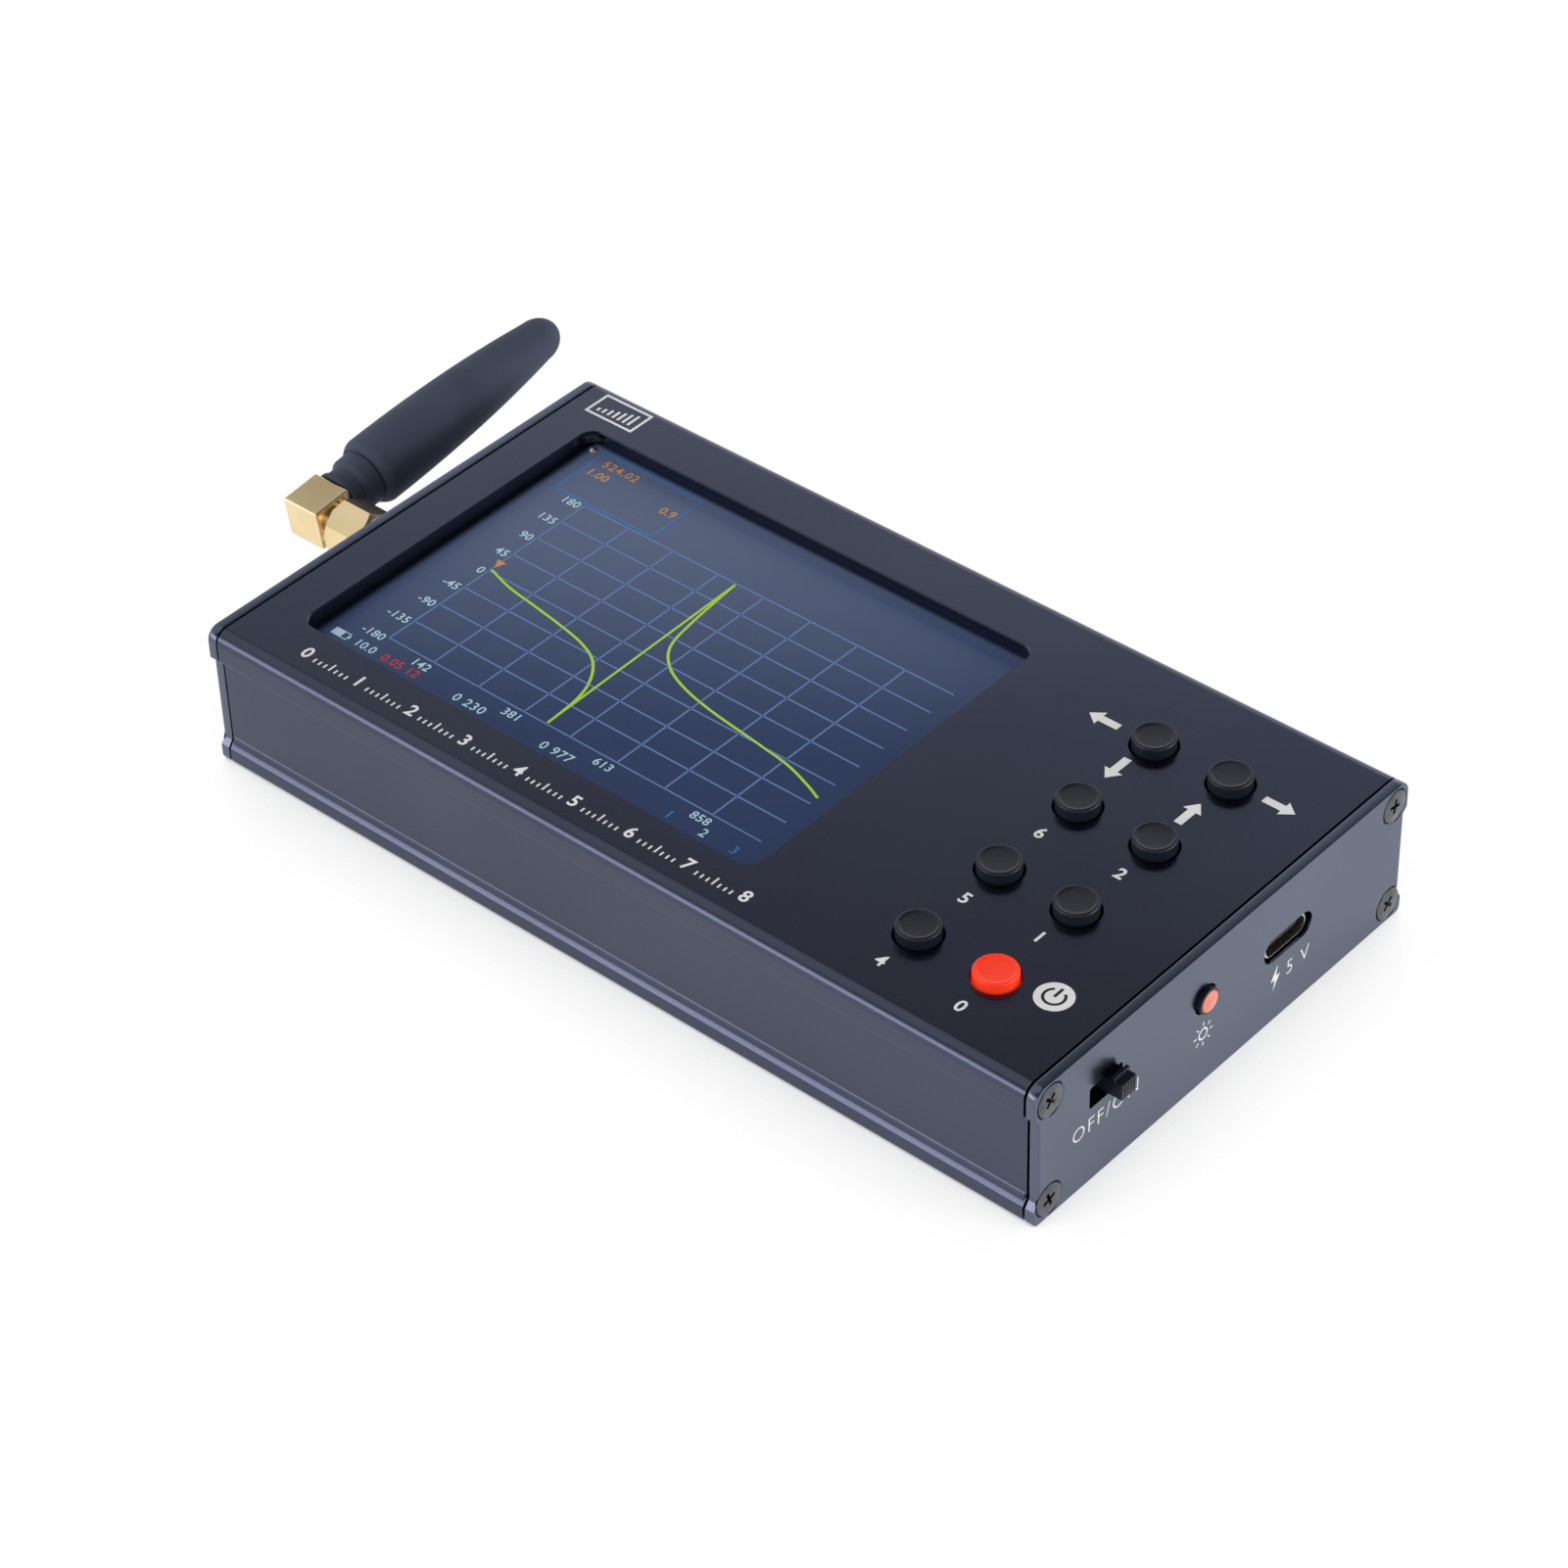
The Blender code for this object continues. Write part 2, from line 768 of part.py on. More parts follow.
def display_post_places():
    """Middle of each post under the display board."""
    reach_x = display_board_length / 2 - display_post_inset_x
    reach_y = display_board_width / 2 - display_post_inset_y
    return [(window_x + side_x * reach_x, side_y * reach_y)
            for side_x in (1, -1) for side_y in (1, -1)]


def display_mounting():
    """Threaded posts and the pin header between the two boards."""
    post_top = on_board_z + post_height
    post = turned("post", [
        (display_post_radius, post_top),
        (display_post_radius, on_board_z),
        (display_post_bore, on_board_z),
        (display_post_bore, post_top),
    ], small_facets, Matrix())
    names = [f"display_post_{number}" for number in range(1, len(display_post_places()) + 1)]
    places = [Matrix.Translation((x, y, 0)) for x, y in display_post_places()]
    repeated(names, baked(post), places, finishes["steel"])
    header = box("display_header",
                 (header_x - header_width / 2, -header_length / 2, on_board_z),
                 (header_x + header_width / 2, header_length / 2, post_top))
    place(header, parts, finishes["black_plastic"])


def main_board():
    """Circuit board that slides into the lower shell's slots."""
    reach_x = plate_inner_x - board_end_gap
    reach_y = wall_inner_y - seat_gap
    board = box("main_board", (-reach_x, -reach_y, board_bottom_z), (reach_x, reach_y, board_top_z))
    return place(board, parts, finishes["board"])


def board_parts():
    """Screening can over the radio stage, with the detector in it, and the controller."""
    low = (shield_x - shield_length / 2, jack_y - shield_width / 2, on_board_z)
    high = (shield_x + shield_length / 2, jack_y + shield_width / 2, on_board_z + shield_height)
    can = bevelled(box("rf_shield", low, high), shield_round)
    hollow = box("shield_cutter",
                 (low[0] + shield_wall, low[1] + shield_wall, low[2] - cut_overrun),
                 (high[0] - shield_wall, high[1] - shield_wall, high[2] - shield_wall))
    combine(can, hollow)
    place(can, parts, finishes["steel"])
    detector = box("detector_chip",
                   (shield_x - detector_side / 2, jack_y - detector_side / 2, on_board_z),
                   (shield_x + detector_side / 2, jack_y + detector_side / 2,
                    on_board_z + detector_height))
    place(detector, parts, finishes["black_plastic"])
    controller = box("controller_chip",
                     (controller_x - controller_side / 2, -controller_side / 2, on_board_z),
                     (controller_x + controller_side / 2, controller_side / 2,
                      on_board_z + controller_height))
    place(controller, parts, finishes["black_plastic"])


def battery():
    """Pouch cell on the floor, its leads, and its plug in the socket under the board."""
    end_x = battery_x + battery_length / 2
    pouch = bevelled(box("battery_pack",
                         (battery_x - battery_length / 2, -battery_width / 2, battery_bottom_z),
                         (end_x, battery_width / 2, battery_bottom_z + battery_thickness)),
                     battery_round)
    seal_z = battery_bottom_z + battery_thickness / 2
    seal = box("battery_seal",
               (end_x - battery_round, -battery_width / 2 + battery_round,
                seal_z - battery_seal_thickness / 2),
               (end_x + battery_seal_length, battery_width / 2 - battery_round,
                seal_z + battery_seal_thickness / 2))
    combine(pouch, seal, 'UNION')
    place(pouch, parts, finishes["pouch"])
    seal_x = end_x + battery_seal_length
    plug_x = seal_x + plug_gap
    socket_top = board_bottom_z - seat_gap
    socket_bottom = socket_top - socket_height
    plug_z = socket_top - socket_height / 2
    socket_x = plug_x + seat_gap
    socket = box("battery_socket", (socket_x, -socket_width / 2, socket_bottom),
                 (socket_x + socket_length, socket_width / 2, socket_top))
    plug = box("battery_plug", (plug_x - plug_length, -plug_width / 2, plug_z - plug_height / 2),
               (plug_x, plug_width / 2, plug_z + plug_height / 2))
    place(socket, parts, finishes["white"])
    place(plug, parts, finishes["white"])
    start_x = seal_x + seat_gap
    finish_x = plug_x - plug_length - seat_gap
    middle_x = (start_x + finish_x) / 2
    for name, side in (("battery_lead_positive", 1), ("battery_lead_negative", -1)):
        y = side * lead_spacing / 2
        lead = wire(name, [(start_x, y, seal_z), (middle_x, y, (seal_z + plug_z) / 2),
                           (finish_x, y, plug_z)], lead_radius)
        place(lead, parts, finishes["red" if side > 0 else "black_plastic"])


def key_places():
    """Middle of each key as X and Y, the near row first in each column."""
    places = []
    for column in range(key_columns):
        x = half_length - key_end_margin - column * key_pitch_x
        for row in range(key_rows):
            y = -half_width + key_near_margin + row * key_pitch_y
            places.append((x, y))
    return places


def key_names():
    """Name of each key, in the order of key_places: the power key is the first."""
    return ["key_power"] + [f"key_{number}" for number in range(1, key_columns * key_rows)]


def key_cap(name, proud, matrix):
    """Key about its travel axis: the cap, its flange under the case, its skirt and its leg."""
    top_z = case_height + proud
    rings = [(0, top_z)]
    shoulder = (key_radius - key_round, top_z - key_round)
    rings += list(reversed(arc(shoulder, key_round, 0, 90, key_round_facets)))
    rings += [
        (key_radius, key_flange_top_z),
        (key_flange_radius, key_flange_top_z),
        (key_flange_radius, key_flange_top_z - key_flange_thickness),
        (key_skirt_radius, key_flange_top_z - key_flange_thickness),
        (key_skirt_radius, key_cap_bottom_z),
        (key_leg_radius, key_cap_bottom_z),
        (key_leg_radius, switch_top_z - key_leg_foot),
        (0, switch_top_z - key_leg_foot),
    ]
    return turned(name, rings, key_facets, matrix)


def keys():
    """Push keys, whose legs stand in the switches. The power key is red and a little lower."""
    for name, (x, y) in zip(key_names(), key_places()):
        power = name == "key_power"
        finish = finishes["red"] if power else finishes["black_plastic"]
        spot = Matrix.Translation((x, y, 0))
        place(key_cap(name, power_key_proud if power else key_proud, spot), parts, finish)


def key_switches():
    """Bodies of the switches under the keys, each with the well that a key's leg moves in."""
    body = box("switch", (-switch_side / 2, -switch_side / 2, on_board_z),
               (switch_side / 2, switch_side / 2, switch_top_z))
    combine(body, cylinder("switch_well", key_leg_radius + seat_gap,
                           switch_top_z - switch_well_depth, switch_top_z + cut_overrun,
                           small_facets, Matrix()))
    mesh = baked(body)
    names = [name.replace("key", "key_switch", 1) for name in key_names()]
    middle_z = (on_board_z + switch_top_z) / 2
    places = [Matrix.Translation((x, y, middle_z)) for x, y in key_places()]
    repeated(names, mesh, places, finishes["steel"])


def usb_middle_z():
    """Height of the charging socket's middle."""
    return on_board_z + usb_shell_height / 2


def usb_socket():
    """Charging socket: the drawn metal shell and the contact tongue on its block."""
    middle = (socket_y, usb_middle_z())
    front = half_length - usb_shell_setback
    back = front - usb_shell_length
    inner_width = usb_shell_width - 2 * usb_shell_wall
    inner_height = usb_shell_height - 2 * usb_shell_wall
    shell = prism("usb_shell", [long_hole(middle, usb_shell_width, usb_shell_height),
                                long_hole(middle, inner_width, inner_height)],
                  back, front, PROFILE_ALONG_X)
    place(shell, parts, finishes["steel"])
    block = prism("usb_tongue", [long_hole(middle, inner_width - 2 * seat_gap,
                                           inner_height - 2 * seat_gap)],
                  back + usb_shell_wall, back + usb_block_depth, PROFILE_ALONG_X)
    tongue = box("tongue_half",
                 (back + usb_block_depth / 2, socket_y - usb_tongue_width / 2,
                  middle[1] - usb_tongue_thickness / 2),
                 (front - usb_tongue_setback, socket_y + usb_tongue_width / 2,
                  middle[1] + usb_tongue_thickness / 2))
    combine(block, tongue, 'UNION')
    place(block, parts, finishes["black_plastic"])


def signal_lamp():
    """Lamp: dark collar in the plate's hole, and the lens whose flat front covers it."""
    about = Matrix.Translation((half_length, lamp_y, lamp_z)) @ FACING_X
    lens_bottom = lamp_collar_proud + seat_gap
    lens_top = lens_bottom + lamp_lens_thickness
    collar_back = lamp_collar_proud - lamp_collar_depth
    collar = turned("lamp_collar", [
        (lamp_collar_radius, lamp_collar_proud),
        (lamp_collar_radius, collar_back),
        (lamp_collar_bore, collar_back),
        (lamp_collar_bore, lamp_collar_proud),
    ], key_facets, about)
    place(collar, parts, finishes["black_plastic"])
    rings = [(0, lens_top)]
    rings += list(reversed(arc((lamp_lens_radius - lamp_lens_round, lens_top - lamp_lens_round),
                               lamp_lens_round, 0, 90, key_round_facets)))
    rings += [
        (lamp_lens_radius, lens_bottom),
        (lamp_stem_radius, lens_bottom),
        (lamp_stem_radius, collar_back),
        (0, collar_back),
    ]
    place(turned("lamp_lens", rings, key_facets, about), parts, finishes["lamp"])


def slide_knob_y():
    """Middle of the slide switch's knob at rest, at the end of its travel that is switched on."""
    return slide_slot_y + slide_travel / 2


def slide_switch():
    """Slide switch: its body on the board, open at the front, and the knob through the plate."""
    front = plate_inner_x - seat_gap
    low = (front - slide_body_depth, slide_slot_y - slide_body_length / 2, on_board_z)
    high = (front, slide_slot_y + slide_body_length / 2, on_board_z + slide_body_height)
    body = bevelled(box("slide_switch_body", low, high), slide_body_round)
    root_x = half_length - slide_knob_root
    track_reach = slide_knob_width / 2 + slide_travel / 2 + seat_gap
    track = box("slide_track",
                (root_x - seat_gap, slide_slot_y - track_reach,
                 slide_z - slide_knob_height / 2 - seat_gap),
                (front + cut_overrun, slide_slot_y + track_reach,
                 slide_z + slide_knob_height / 2 + seat_gap))
    combine(body, track)
    place(body, parts, finishes["steel"])
    knob = box("slide_knob",
               (root_x, slide_knob_y() - slide_knob_width / 2, slide_z - slide_knob_height / 2),
               (half_length + slide_knob_proud, slide_knob_y() + slide_knob_width / 2,
                slide_z + slide_knob_height / 2))
    ridge_front = half_length + slide_knob_proud - slide_ridge_setback
    ridge = box("slide_ridge",
                (ridge_front - slide_ridge_thickness, slide_knob_y() - slide_knob_width / 2,
                 slide_z),
                (ridge_front, slide_knob_y() + slide_knob_width / 2,
                 slide_z + slide_knob_height / 2 + slide_ridge_height))
    combine(knob, ridge, 'UNION')
    place(bevelled(knob, slide_knob_chamfer, 1), parts, finishes["black_plastic"])


def chamfered_nut(name, flats, low, high, chamfer, matrix):
    """Hexagon nut blank with both ends chamfered by a turned envelope."""
    nut = hexagon(name, flats, low, high, matrix)
    corner = flats / 2 / math.cos(math.radians(30)) + chamfer / 2
    rim = corner - chamfer
    drop = chamfer / 2
    envelope = turned(f"{name}_envelope", [
        (0, high + cut_overrun),
        (rim - drop, high + cut_overrun),
        (rim - drop, high),
        (corner, high - chamfer),
        (corner, low + chamfer),
        (rim - drop, low),
        (rim - drop, low - cut_overrun),
        (0, low - cut_overrun),
    ], fine_facets, matrix)
    combine(nut, envelope, 'INTERSECT')
    return nut


def antenna_jack():
    """Threaded jack through the end plate, its insulator, and the washer and nut that hold it."""
    about = Matrix.Translation((-half_length, jack_y, jack_z)) @ FACING_MINUS_X
    body_front_x = -plate_inner_x + seat_gap
    body = box("rf_jack",
               (body_front_x, jack_y - jack_body_side / 2, on_board_z),
               (body_front_x + jack_body_depth, jack_y + jack_body_side / 2,
                jack_z + jack_body_side / 2))
    inner_end = -plate_thickness - jack_body_depth / 2
    barrel = cylinder("jack_barrel", jack_barrel_radius, inner_end, jack_barrel_reach,
                      fine_facets, about)
    combine(body, barrel, 'UNION')
    combine(body, cylinder("jack_bore", jack_bore_radius, jack_barrel_reach - jack_bore_depth,
                           jack_barrel_reach + cut_overrun, fine_facets, about))
    place(body, parts, finishes["gold"])
    insulator_low = jack_barrel_reach - jack_bore_depth + seat_gap
    insulator = turned("jack_insulator", [
        (jack_bore_radius - seat_gap, jack_barrel_reach - seat_gap),
        (jack_bore_radius - seat_gap, insulator_low),
        (jack_insulator_bore, insulator_low),
        (jack_insulator_bore, jack_barrel_reach - seat_gap),
    ], small_facets, about)
    place(insulator, parts, finishes["white"])
    washer_top = seat_gap + jack_washer_thickness
    washer = turned("jack_washer", [
        (jack_washer_radius, washer_top),
        (jack_washer_radius, seat_gap),
        (jack_hole_radius, seat_gap),
        (jack_hole_radius, washer_top),
    ], fine_facets, about)
    place(washer, parts, finishes["gold"])
    nut_low = washer_top + seat_gap
    nut_high = nut_low + jack_nut_thickness
    nut = chamfered_nut("jack_nut", jack_nut_flats, nut_low, nut_high, coupling_chamfer, about)
    combine(nut, cylinder("jack_nut_bore", jack_hole_radius, nut_low - cut_overrun,
                          nut_high + cut_overrun, fine_facets, about))
    place(nut, parts, finishes["gold"])


def antenna_pivot():
    """Empty on the jack's axis in the middle of the elbow, tilted with the stub antenna."""
    pivot = bpy.data.objects.new("antenna_pivot", None)
    parts.objects.link(pivot)
    pivot.location = (elbow_x, jack_y, jack_z)
    pivot.rotation_euler = (math.radians(antenna_tilt), 0, 0)
    bpy.context.view_layer.update()
    return pivot


def carried(piece, pivot):
    """Hang a piece that was built about the pivot's own axes on the pivot."""
    piece.parent = pivot
    return piece


def antenna_elbow(pivot):
    """Square elbow block with the flanged neck to the jack and the spigot under the stub."""
    half = elbow_side / 2
    block = bevelled(box("antenna_elbow", (-half, -half, -half), (half, half, half)), elbow_bevel, 1)
    neck_tip = half + elbow_neck_reach
    neck = turned("elbow_neck", [
        (0, neck_tip),
        (elbow_flange_radius, neck_tip),
        (elbow_flange_radius, neck_tip - elbow_flange_thickness),
        (elbow_neck_radius, neck_tip - elbow_flange_thickness),
        (elbow_neck_radius, 0),
        (0, 0),
    ], fine_facets, FACING_X)
    spigot = cylinder("elbow_spigot", elbow_spigot_radius, 0, half + elbow_spigot_reach,
                      small_facets, FACING_Y)
    bore = cylinder("elbow_bore", elbow_bore_radius, neck_tip - elbow_bore_depth,
                    neck_tip + cut_overrun, small_facets, FACING_X)
    combine(block, neck, 'UNION')
    combine(block, spigot, 'UNION')
    combine(block, bore)
    for tool in (block, neck, spigot, bore):
        carried(tool, pivot)
    place(block, parts, finishes["gold"])
    pin = cylinder("elbow_pin", pin_radius, neck_tip - elbow_bore_depth + seat_gap,
                   neck_tip + pin_reach, small_facets, FACING_X)
    place(carried(pin, pivot), parts, finishes["gold"])


def coupling_nut():
    """Captive nut that draws the elbow onto the jack, with its inward collar behind the flange."""
    about = Matrix.Translation((coupling_end_x, jack_y, jack_z)) @ FACING_MINUS_X
    about = about @ Matrix.Rotation(math.radians(coupling_turn), 4, 'Z')
    nut = chamfered_nut("coupling_nut", coupling_flats, 0, coupling_length, coupling_chamfer, about)
    bore = turned("coupling_bore", [
        (0, coupling_length + cut_overrun),
        (coupling_collar_radius, coupling_length + cut_overrun),
        (coupling_collar_radius, coupling_length - coupling_collar),
        (coupling_bore_radius, coupling_length - coupling_collar),
        (coupling_bore_radius, -cut_overrun),
        (0, -cut_overrun),
    ], fine_facets, about)
    combine(nut, bore)
    return place(nut, parts, finishes["gold"])


def whip_rings():
    """Profile of the rubber stub from its tip down its outside and back up its bore."""
    cap_start = whip_tip - whip_cap_length
    rings = [(0, whip_tip)]
    cap_steps = arc_facets + 1
    for index in range(1, cap_steps):
        angle = math.radians(90 * index / cap_steps)
        rings.append((whip_end_radius * math.sin(angle),
                      cap_start + whip_cap_length * math.cos(angle)))
    taper_steps = 2 * arc_facets
    for index in range(taper_steps + 1):
        share = 1 - index / taper_steps
        height = whip_shoulder + (cap_start - whip_shoulder) * share
        narrowing = (whip_root_radius - whip_end_radius) * share ** whip_taper_power
        rings.append((whip_root_radius - narrowing, height))
    foot = elbow_side / 2 + seat_gap
    collar_top = whip_shoulder - whip_shoulder_length
    collar_bottom = collar_top - whip_collar_length
    bore_radius = elbow_spigot_radius + whip_bore_gap
    bore_top = elbow_side / 2 + elbow_spigot_reach + seat_gap
    rings += [
        (whip_collar_radius, collar_top),
        (whip_collar_radius, collar_bottom),
        (whip_waist_radius, collar_bottom - whip_foot_length),
        (whip_waist_radius, foot + 2 * whip_foot_length),
        (whip_foot_radius, foot + whip_foot_length),
        (whip_foot_radius, foot),
        (bore_radius, foot),
        (bore_radius, bore_top),
        (0, bore_top),
    ]
    return rings


def antenna_whip(pivot):
    """Rubber stub antenna on the elbow's spigot, along the pivot's own Y axis."""
    whip = turned("antenna_whip", whip_rings(), fine_facets, FACING_Y)
    return place(carried(whip, pivot), parts, finishes["rubber"])


def antenna_analyzer():
    """Every piece of the instrument."""
    lower_shell()
    upper_shell()
    usb_end_plate()
    antenna_end_plate()
    screw = countersunk_screw()
    end_screws("usb_end_screw", 1, screw)
    end_screws("antenna_end_screw", -1, screw)
    display_stack()
    display_mounting()
    main_board()
    board_parts()
    battery()
    key_switches()
    keys()
    usb_socket()
    signal_lamp()
    slide_switch()
    antenna_jack()
    coupling_nut()
    pivot = antenna_pivot()
    antenna_elbow(pivot)
    antenna_whip(pivot)


clear_scene()
parts = collection("antenna_analyzer")
cutters = collection("cutters")
finishes = {
    "case": black_anodised(),
    "gold": gold_plate(),
    "rubber": black_rubber(),
    "black_plastic": black_plastic(),
    "red": red_plastic(),
    "screw": black_steel(),
    "steel": bright_steel(),
    "lens": screen_glass(),
    "board": circuit_green(),
    "white": white_insulator(),
    "pouch": foil_pouch(),
    "lamp": lamp_amber(),
}
antenna_analyzer()
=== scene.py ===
import math

import bmesh
import bpy
from mathutils import Matrix, Vector


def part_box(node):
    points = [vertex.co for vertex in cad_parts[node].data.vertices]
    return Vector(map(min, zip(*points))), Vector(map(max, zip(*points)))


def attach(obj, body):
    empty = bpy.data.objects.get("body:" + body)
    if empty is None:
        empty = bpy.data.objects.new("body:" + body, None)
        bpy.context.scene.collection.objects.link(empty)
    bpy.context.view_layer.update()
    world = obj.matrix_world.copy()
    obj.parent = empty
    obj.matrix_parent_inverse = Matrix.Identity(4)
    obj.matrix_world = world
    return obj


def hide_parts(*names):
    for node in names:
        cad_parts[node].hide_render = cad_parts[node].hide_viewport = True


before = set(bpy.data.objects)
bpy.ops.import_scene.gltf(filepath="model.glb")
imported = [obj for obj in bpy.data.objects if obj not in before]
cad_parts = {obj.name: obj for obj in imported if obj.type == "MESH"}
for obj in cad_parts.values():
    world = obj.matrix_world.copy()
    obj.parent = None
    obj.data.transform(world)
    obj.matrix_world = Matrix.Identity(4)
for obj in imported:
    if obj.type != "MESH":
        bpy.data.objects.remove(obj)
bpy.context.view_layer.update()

# Everything below is drawn in millimetres and scaled once, where a shape becomes an object.
METRES = 0.001

# Case
plate_face = 72.5
plate_inner = 70.9
shell_end = 70.6
case_side = 38.9
case_top = 22.7
recess_side = 38.05
wall_inner = 36.65
seam = 17.6
seam_side = 38.5
shoulder = 18.0
bead_top = 2.5
recess_foot = 3.7
channel_rim = 17.3
slot_side = 35.05
lip_outer = 36.35
lip_inner = 35.65
lip_foot = 16.2
roof_inner = 20.6
port_side = 35.95
lower_port = 2.95
upper_port = 19.75
port_radius = 2.5
bore_radius = 1.5
port_rod_end = 70.4
past_the_ends = 80
# Each rounded long edge as its place, width and steps.
foot_rounds = [((case_side, 0), 0.8, 6), ((case_side, bead_top), 0.16, 3),
               ((recess_side, recess_foot), 0.29, 4)]
roof_rounds = [((case_side, case_top), 2.0, 10)]

# Window, screen and keys
window_ends = (-63.8, 18.0)
window_side = 29.15
window_corner = 2.2
screen_middle = -22.9
lens_top = 20.2
lens_bottom = 19.1
key_columns = (55.2, 42.7)
key_rows = (-25.225, -9.075, 7.075, 23.225)

# Screen picture
grid_left = -54.1
grid_right = 13.65
grid_near = -22.2
grid_far = 17.1
grid_cells = 8
screen_foot = -26.4
# Side of one picture cell, in metres, as materials are.
pixel_pitch = 0.00018

# Openings of the socket end, as (y, z)
socket_spot = (13.05, 12.63)
lamp_spot = (-4.6, 14.4)
switch_spot = (-24.9, 14.25)

# Marks, as the middle of each on its own plane
power_mark = (63.15, -23.6)
lamp_sign = (-4.8, 8.6)
charge_sign = (10.6, 7.4)

# Connector and antenna
connector_side = -2.5
connector_height = 14.5
elbow_x = -88.35
nut_flats = 8
antenna_tilt = math.radians(6.5)

# An uneven way through a mesh, along which its corners and faces are put in order.
sorting_way = Vector((0.613, 0.771, 0.173))

ALONG_X = Matrix(((0, 0, 1, 0), (1, 0, 0, 0), (0, 1, 0, 0), (0, 0, 0, 1)))
AGAINST_X = Matrix(((0, 0, -1, 0), (-1, 0, 0, 0), (0, 1, 0, 0), (0, 0, 0, 1)))
FACING = {1: ALONG_X, -1: AGAINST_X}


# Camera


def stand_camera():
    """Camera at the photograph's place, with its narrow angle and no shift."""
    data = bpy.data.cameras.new("bench_camera")
    data.lens = 107.723
    data.sensor_width = 36.0
    camera = bpy.data.objects.new("bench_camera", data)
    camera.location = (0.3267151, -0.3633825, 0.4140400)
    camera.rotation_euler = (math.radians(50.2985), math.radians(1.3605), math.radians(41.0152))
    bpy.context.scene.collection.objects.link(camera)
    bpy.context.scene.camera = camera


# Shaping tools


def move_to(x, y, z):
    return Matrix.Translation((x, y, z))


def draw_out(form, face, height):
    """Extrudes a flat face along Z; the face itself stays where it was."""
    grown = bmesh.ops.extrude_face_region(form, geom=[face])
    moved = [item for item in grown["geom"] if isinstance(item, bmesh.types.BMVert)]
    bmesh.ops.translate(form, verts=moved, vec=(0, 0, height))


def raise_face(form, face, height):
    """Draws a flat face up into a solid."""
    draw_out(form, face, height)
    bmesh.ops.recalc_face_normals(form, faces=form.faces[:])


def soften(form, edges, width, segments=2):
    """Rounds edges, or chamfers them where one segment is asked for."""
    bmesh.ops.bevel(form, geom=edges, offset=width, offset_type='OFFSET', affect='EDGES',
                    segments=segments, profile=0.5, material=-1, clamp_overlap=True)


def upright_edges(form, spots):
    """Edges along Z that stand on any of the given XY spots."""
    chosen = []
    for edge in form.edges:
        first, second = edge.verts
        if abs(first.co.z - second.co.z) < 0.01:
            continue
        if any(math.hypot(first.co.x - x, first.co.y - y) < 0.01 for x, y in spots):
            chosen.append(edge)
    return chosen


def rim_edges(form, height):
    """Outline edges of the flat face at one height."""
    chosen = []
    for edge in form.edges:
        level = all(abs(corner.co.z - height) < 0.001 for corner in edge.verts)
        if level and edge.calc_face_angle(0) > math.radians(20):
            chosen.append(edge)
    return chosen


def drawn(corners, low, high, rounds=(), rim=0.0):
    """Outline drawn up from low to high, with rounded uprights and softened end rims."""
    form = bmesh.new()
    face = form.faces.new([form.verts.new((x, y, low)) for x, y in corners])
    raise_face(form, face, high - low)
    for spots, width, segments in rounds:
        soften(form, upright_edges(form, spots), width, segments)
    if rim:
        soften(form, rim_edges(form, low) + rim_edges(form, high), rim, 2)
    return form


def spun(profile, steps=48, rounds=()):
    """Profile of (radius, height) corners spun round Z, with some corners rounded first."""
    form = bmesh.new()
    wire = [form.verts.new((radius, 0, height)) for radius, height in profile]
    for first, second in zip(wire, wire[1:]):
        form.edges.new((first, second))
    for corner, width, segments in rounds:
        bmesh.ops.bevel(form, geom=[wire[corner]], offset=width, offset_type='OFFSET',
                        affect='VERTICES', segments=segments, profile=0.5, material=-1)
    bmesh.ops.spin(form, geom=form.verts[:] + form.edges[:], cent=(0, 0, 0), axis=(0, 0, 1),
                   dvec=(0, 0, 0), angle=math.tau, steps=steps, use_merge=True,
                   use_duplicate=False)
    bmesh.ops.remove_doubles(form, verts=form.verts[:], dist=0.0005)
    bmesh.ops.recalc_face_normals(form, faces=form.faces[:])
    return form


def rod(radius, low, high, steps=48):
    """Round rod along Z."""
    return spun([(0, low), (radius, low), (radius, high), (0, high)], steps)


def block(low, high, width=0.0, segments=2):
    """Block between two corners with softened edges."""
    form = bmesh.new()
    bmesh.ops.create_cube(form, size=1.0)
    bmesh.ops.scale(form, verts=form.verts[:], vec=[high[axis] - low[axis] for axis in range(3)])
    bmesh.ops.translate(form, verts=form.verts[:],
                        vec=[(high[axis] + low[axis]) / 2 for axis in range(3)])
    if width:
        soften(form, form.edges[:], width, segments)
    return form


def rounded_plate(width, depth, radius, low, high, rim=0.0, segments=8):
    x, y = width / 2, depth / 2
    corners = [(-x, -y), (x, -y), (x, y), (-x, y)]
    return drawn(corners, low, high, [(corners, radius, segments)], rim)


def piece_of(name, form, place=None):
    """Millimetre shape put at its place as an object in metres."""
    if place is not None:
        bmesh.ops.transform(form, matrix=place, verts=form.verts[:])
    bmesh.ops.scale(form, verts=form.verts[:], vec=(METRES, METRES, METRES))
    mesh = bpy.data.meshes.new(name)
    form.to_mesh(mesh)
    form.free()
    piece = bpy.data.objects.new(name, mesh)
    bpy.context.scene.collection.objects.link(piece)
    return piece


def set_down(piece):
    """Applies a piece's modifiers to its mesh."""
    bpy.context.view_layer.update()
    seen = piece.evaluated_get(bpy.context.evaluated_depsgraph_get())
    mesh = bpy.data.meshes.new_from_object(seen)
    mesh.name = piece.name
    piece.modifiers.clear()
    piece.data = mesh


def carve(piece, tool, operation='DIFFERENCE'):
    """Cuts a tool out of a piece, or joins it on, and throws the tool away."""
    step = piece.modifiers.new("carve", 'BOOLEAN')
    step.object = tool
    step.operation = operation
    step.solver = 'EXACT'
    set_down(piece)
    bpy.data.objects.remove(tool, do_unlink=True)


